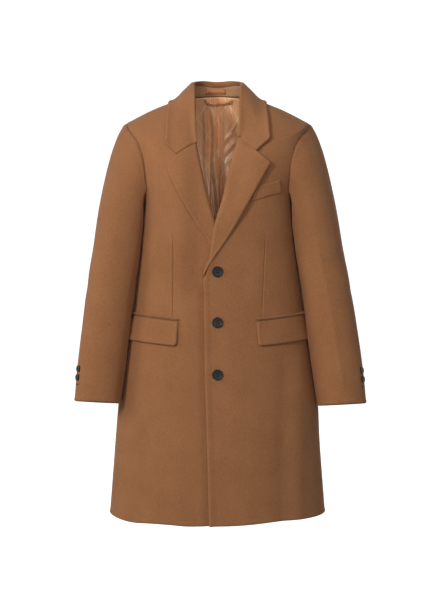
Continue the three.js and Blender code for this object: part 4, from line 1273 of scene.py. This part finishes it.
NOISE_DETAIL = 3
LATTICE_ACROSS, LATTICE_UP = 21.0, 14.0    # for each metre
LATTICE_LINE = 0.03            # half of a line's width, of the distance between lines


def colour(*rgb):
    """Linear colour from one that a screen shows."""
    return tuple((c / 255) ** 2.2 for c in rgb) + (1,)


def new_material(name, rough):
    material = bpy.data.materials.new(name)
    material.use_nodes = True
    shader = material.node_tree.nodes["Principled BSDF"]
    shader.inputs["Roughness"].default_value = rough
    return material, material.node_tree, shader


def noise_node(tree, coordinates, scale, stretch):
    node = tree.nodes.new("ShaderNodeTexNoise")
    node.inputs["Scale"].default_value = scale
    node.inputs["Detail"].default_value = NOISE_DETAIL
    mapping = tree.nodes.new("ShaderNodeMapping")
    mapping.inputs["Scale"].default_value = stretch
    tree.links.new(coordinates, mapping.inputs["Vector"])
    tree.links.new(mapping.outputs["Vector"], node.inputs["Vector"])
    return node.outputs["Fac"]


def ramp(tree, factor, stops):
    node = tree.nodes.new("ShaderNodeValToRGB")
    elements = node.color_ramp.elements
    for element, (place, value) in zip(elements, stops):
        element.position = place
        element.color = value
    for place, value in stops[2:]:
        elements.new(place).color = value
    tree.links.new(factor, node.inputs["Fac"])
    return node.outputs["Color"]


def math_node(tree, operation, first, second):
    node = tree.nodes.new("ShaderNodeMath")
    node.operation = operation
    for socket, value in zip(node.inputs, (first, second)):
        if isinstance(value, (int, float)):
            socket.default_value = value
        else:
            tree.links.new(value, socket)
    return node.outputs["Value"]


def bump_into(tree, shader, height, strength, distance):
    node = tree.nodes.new("ShaderNodeBump")
    node.inputs["Strength"].default_value = strength
    node.inputs["Distance"].default_value = distance
    tree.links.new(height, node.inputs["Height"])
    tree.links.new(node.outputs["Normal"], shader.inputs["Normal"])


def wool_material(name, dark, light):
    """Brushed melton: a fine speckle of fibres and a short nap, with hardly any sheen."""
    material, tree, shader = new_material(name, 0.95)
    coordinates = tree.nodes.new("ShaderNodeTexCoord").outputs["Object"]
    speckle = noise_node(tree, coordinates, scale=420, stretch=(1, 1, 0.8))
    cloud = noise_node(tree, coordinates, scale=20, stretch=(1, 1, 0.7))
    both = math_node(tree, "ADD", math_node(tree, "MULTIPLY", speckle, 0.68),
                     math_node(tree, "MULTIPLY", cloud, 0.32))
    tree.links.new(ramp(tree, both, ((0.36, dark), (0.64, light))), shader.inputs["Base Color"])
    nap = noise_node(tree, coordinates, scale=900, stretch=(1, 1, 0.45))
    bump_into(tree, shader, nap, strength=0.3, distance=0.0005)
    shader.inputs["Specular IOR Level"].default_value = 0.15
    shader.inputs["Sheen Weight"].default_value = 0.12
    shader.inputs["Sheen Roughness"].default_value = 0.5
    shader.inputs["Sheen Tint"].default_value = (1, 0.8, 0.6, 1)
    return material


def lining_material():
    """Satin with a plain lattice of thin crossing lines."""
    material, tree, shader = new_material("lining", 0.34)
    places = tree.nodes.new("ShaderNodeTexCoord").outputs["Object"]
    parts = tree.nodes.new("ShaderNodeSeparateXYZ")
    tree.links.new(places, parts.inputs["Vector"])
    across = math_node(tree, "MULTIPLY", parts.outputs["X"], LATTICE_ACROSS)
    up = math_node(tree, "MULTIPLY", parts.outputs["Z"], LATTICE_UP)
    lines = []
    for operation in ("ADD", "SUBTRACT"):
        place_on = math_node(tree, "FRACT", math_node(tree, operation, across, up), 0)
        off = math_node(tree, "ABSOLUTE", math_node(tree, "SUBTRACT", place_on, 0.5), 0)
        lines.append(math_node(tree, "LESS_THAN", off, LATTICE_LINE))
    lattice = math_node(tree, "MAXIMUM", *lines)
    ground, line = colour(250, 188, 138), colour(255, 212, 166)
    tree.links.new(ramp(tree, lattice, ((0.2, ground), (0.8, line))), shader.inputs["Base Color"])
    crinkle = noise_node(tree, places, scale=140, stretch=(1, 1, 0.25))
    bump_into(tree, shader, crinkle, strength=0.25, distance=0.0008)
    shader.inputs["Specular IOR Level"].default_value = 0.9
    return material


def plain_material(name, value, rough, **inputs):
    material, _, shader = new_material(name, rough)
    shader.inputs["Base Color"].default_value = value
    for key, amount in inputs.items():
        shader.inputs[key.replace("_", " ")].default_value = amount
    return material


# Stage, light and camera

FLOOR_Z = -1.06
STUDIO = ((0, 0), (6.5, 0), (8.0, 0.3), (8.7, 1.2), (9, 3), (8, 6.5), (5, 8.6), (0, 9.3))
STUDIO_TURNS = 96
PAPER_GREY, PAPER_GLOW = 0.45, 0.95
COAT_MIDDLE = (0, 0, -0.35)
NECK_MIDDLE = (0, 0, -0.1)
AREA_LIGHTS = (
    # name, place, width and height, power
    ("key", (-1.75, -2.75, 0.55), (0.35, 0.35), 46),
    ("side", (-3.0, -0.9, 0.5), (0.8, 0.8), 21),
    ("back", (0.9, 3.4, 0.9), (1.4, 1.4), 34),
    ("front", (0.5, -3.2, 0.35), (0.9, 0.9), 22),
    ("top", (-0.3, 0.1, 2.0), (1.6, 1.4), 2.5),
)
NECK_LIGHT = {"place": (-0.9, -2.9, 0.75), "cone": 8, "soft": 0.12, "power": 84}
WORLD_LEFT, WORLD_RIGHT = (0.3, 0.3, 0.3, 1), (0.17, 0.17, 0.17, 1)
EYE, LENS, SENSOR = (0, -3.0, -0.470), 77.48, 36


def stage():
    """Pale floor that runs up into a pale wall all round, far from the coat."""
    turns = np.linspace(0, 2 * np.pi, STUDIO_TURNS, endpoint=False)
    rings = np.array([[(r * np.cos(t), r * np.sin(t), FLOOR_Z + z) for t in turns] for r, z in STUDIO])
    data = bpy.data.meshes.new("floor_and_wall")
    data.from_pydata(rings.reshape(-1, 3).tolist(), [], ring_quads(*rings.shape[:2])[0])
    data.shade_smooth()
    floor = in_scene("floor_and_wall", data)
    paper = plain_material("pale_paper", (PAPER_GREY,) * 3 + (1,), 0.9, Emission_Strength=PAPER_GLOW)
    paper.node_tree.nodes["Principled BSDF"].inputs["Emission Color"].default_value = (1, 1, 1, 1)
    data.materials.append(paper)
    floor.visible_diffuse = False


def lamp(name, data, place_at, target, power):
    """Sets a light in its place and turns it to its target."""
    data.energy = power
    obj = in_scene(name, data)
    obj.location = place_at
    obj.rotation_euler = (Vector(target) - Vector(place_at)).to_track_quat("-Z", "Y").to_euler()


def studio_world():
    """Soft light all round, brighter from the left."""
    world = bpy.data.worlds.new("studio")
    bpy.context.scene.world = world
    world.use_nodes = True
    tree = world.node_tree
    direction = tree.nodes.new("ShaderNodeTexCoord").outputs["Generated"]
    parts = tree.nodes.new("ShaderNodeSeparateXYZ")
    tree.links.new(direction, parts.inputs["Vector"])
    towards = math_node(tree, "ADD", math_node(tree, "MULTIPLY", parts.outputs["X"], 0.5), 0.5)
    grey = ramp(tree, towards, ((0.2, WORLD_LEFT), (0.8, WORLD_RIGHT)))
    tree.links.new(grey, tree.nodes["Background"].inputs["Color"])


def lights():
    for name, place_at, size, power in AREA_LIGHTS:
        data = bpy.data.lights.new(name, "AREA")
        data.shape = "RECTANGLE"
        data.size, data.size_y = size
        lamp(name, data, place_at, COAT_MIDDLE, power)
    data = bpy.data.lights.new("neck", "SPOT")
    data.spot_size = math.radians(NECK_LIGHT["cone"])
    data.spot_blend = 1
    data.shadow_soft_size = NECK_LIGHT["soft"]
    lamp("neck", data, NECK_LIGHT["place"], NECK_MIDDLE, NECK_LIGHT["power"])
    studio_world()
    bpy.context.scene.view_settings.view_transform = "Standard"


def camera():
    data = bpy.data.cameras.new("camera")
    data.lens = LENS
    data.sensor_width = SENSOR
    data.dof.use_dof = False
    eye = in_scene("camera", data)
    eye.location = EYE
    eye.rotation_euler = (math.pi / 2, 0, 0)
    bpy.context.scene.camera = eye


# The coat

def finish_piece(obj, material, node=None):
    obj.data.materials.append(material)
    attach(obj, "root")
    if node:
        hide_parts(node)
    return obj


def cloth_pieces():
    """Every piece of wool, each paired with the name of a slot of the record."""
    pieces = []
    for front in FRONTS:
        pieces += [front_panel(front), side_panel(front), back_panel(front),
                   sleeve_piece(front, True), sleeve_piece(front, False),
                   flap_piece(front), jet_piece(front)]
    pieces.append(welt_piece())
    turned_back = [lapel_piece(front) for front in FRONTS] + collar_pieces()
    return [(piece, "wool") for piece in pieces] + [(piece, "collar_wool") for piece in turned_back]


def build():
    wool = wool_material("wool", colour(140, 93, 60), colour(157, 107, 71))
    felt = wool_material("stand_wool", colour(160, 118, 84), colour(184, 140, 104))
    horn = plain_material("dark_horn", colour(11, 11, 14), 0.4, Specular_IOR_Level=0.22)
    thread = plain_material("thread", colour(30, 26, 26), 0.7)
    cord = plain_material("cord", colour(196, 140, 98), 0.45)
    label = plain_material("label", colour(178, 112, 66), 0.6)
    for piece, slot in cloth_pieces():
        node = piece.name.removesuffix("_cloth")
        material = felt if node == "collar_stand" else wool
        finish_piece(piece, material, node)
    finish_piece(lining_piece(), lining_material(), "lining_back")
    finish_piece(label_piece(), label, "neck_label")
    finish_piece(hanger_piece(), cord, "hanger_loop")
    for name, radius, thick, point, normal in button_spots():
        disc = place(button_mesh(f"{name}_disc", radius, thick), point, normal)
        finish_piece(disc, horn, name)
        bars = place(thread_mesh(f"{name}_thread", radius, thick), point, normal)
        finish_piece(bars, thread)
    for front in FRONTS:
        finish_piece(cuff_bar(front), thread)


build()
stage()
lights()
camera()
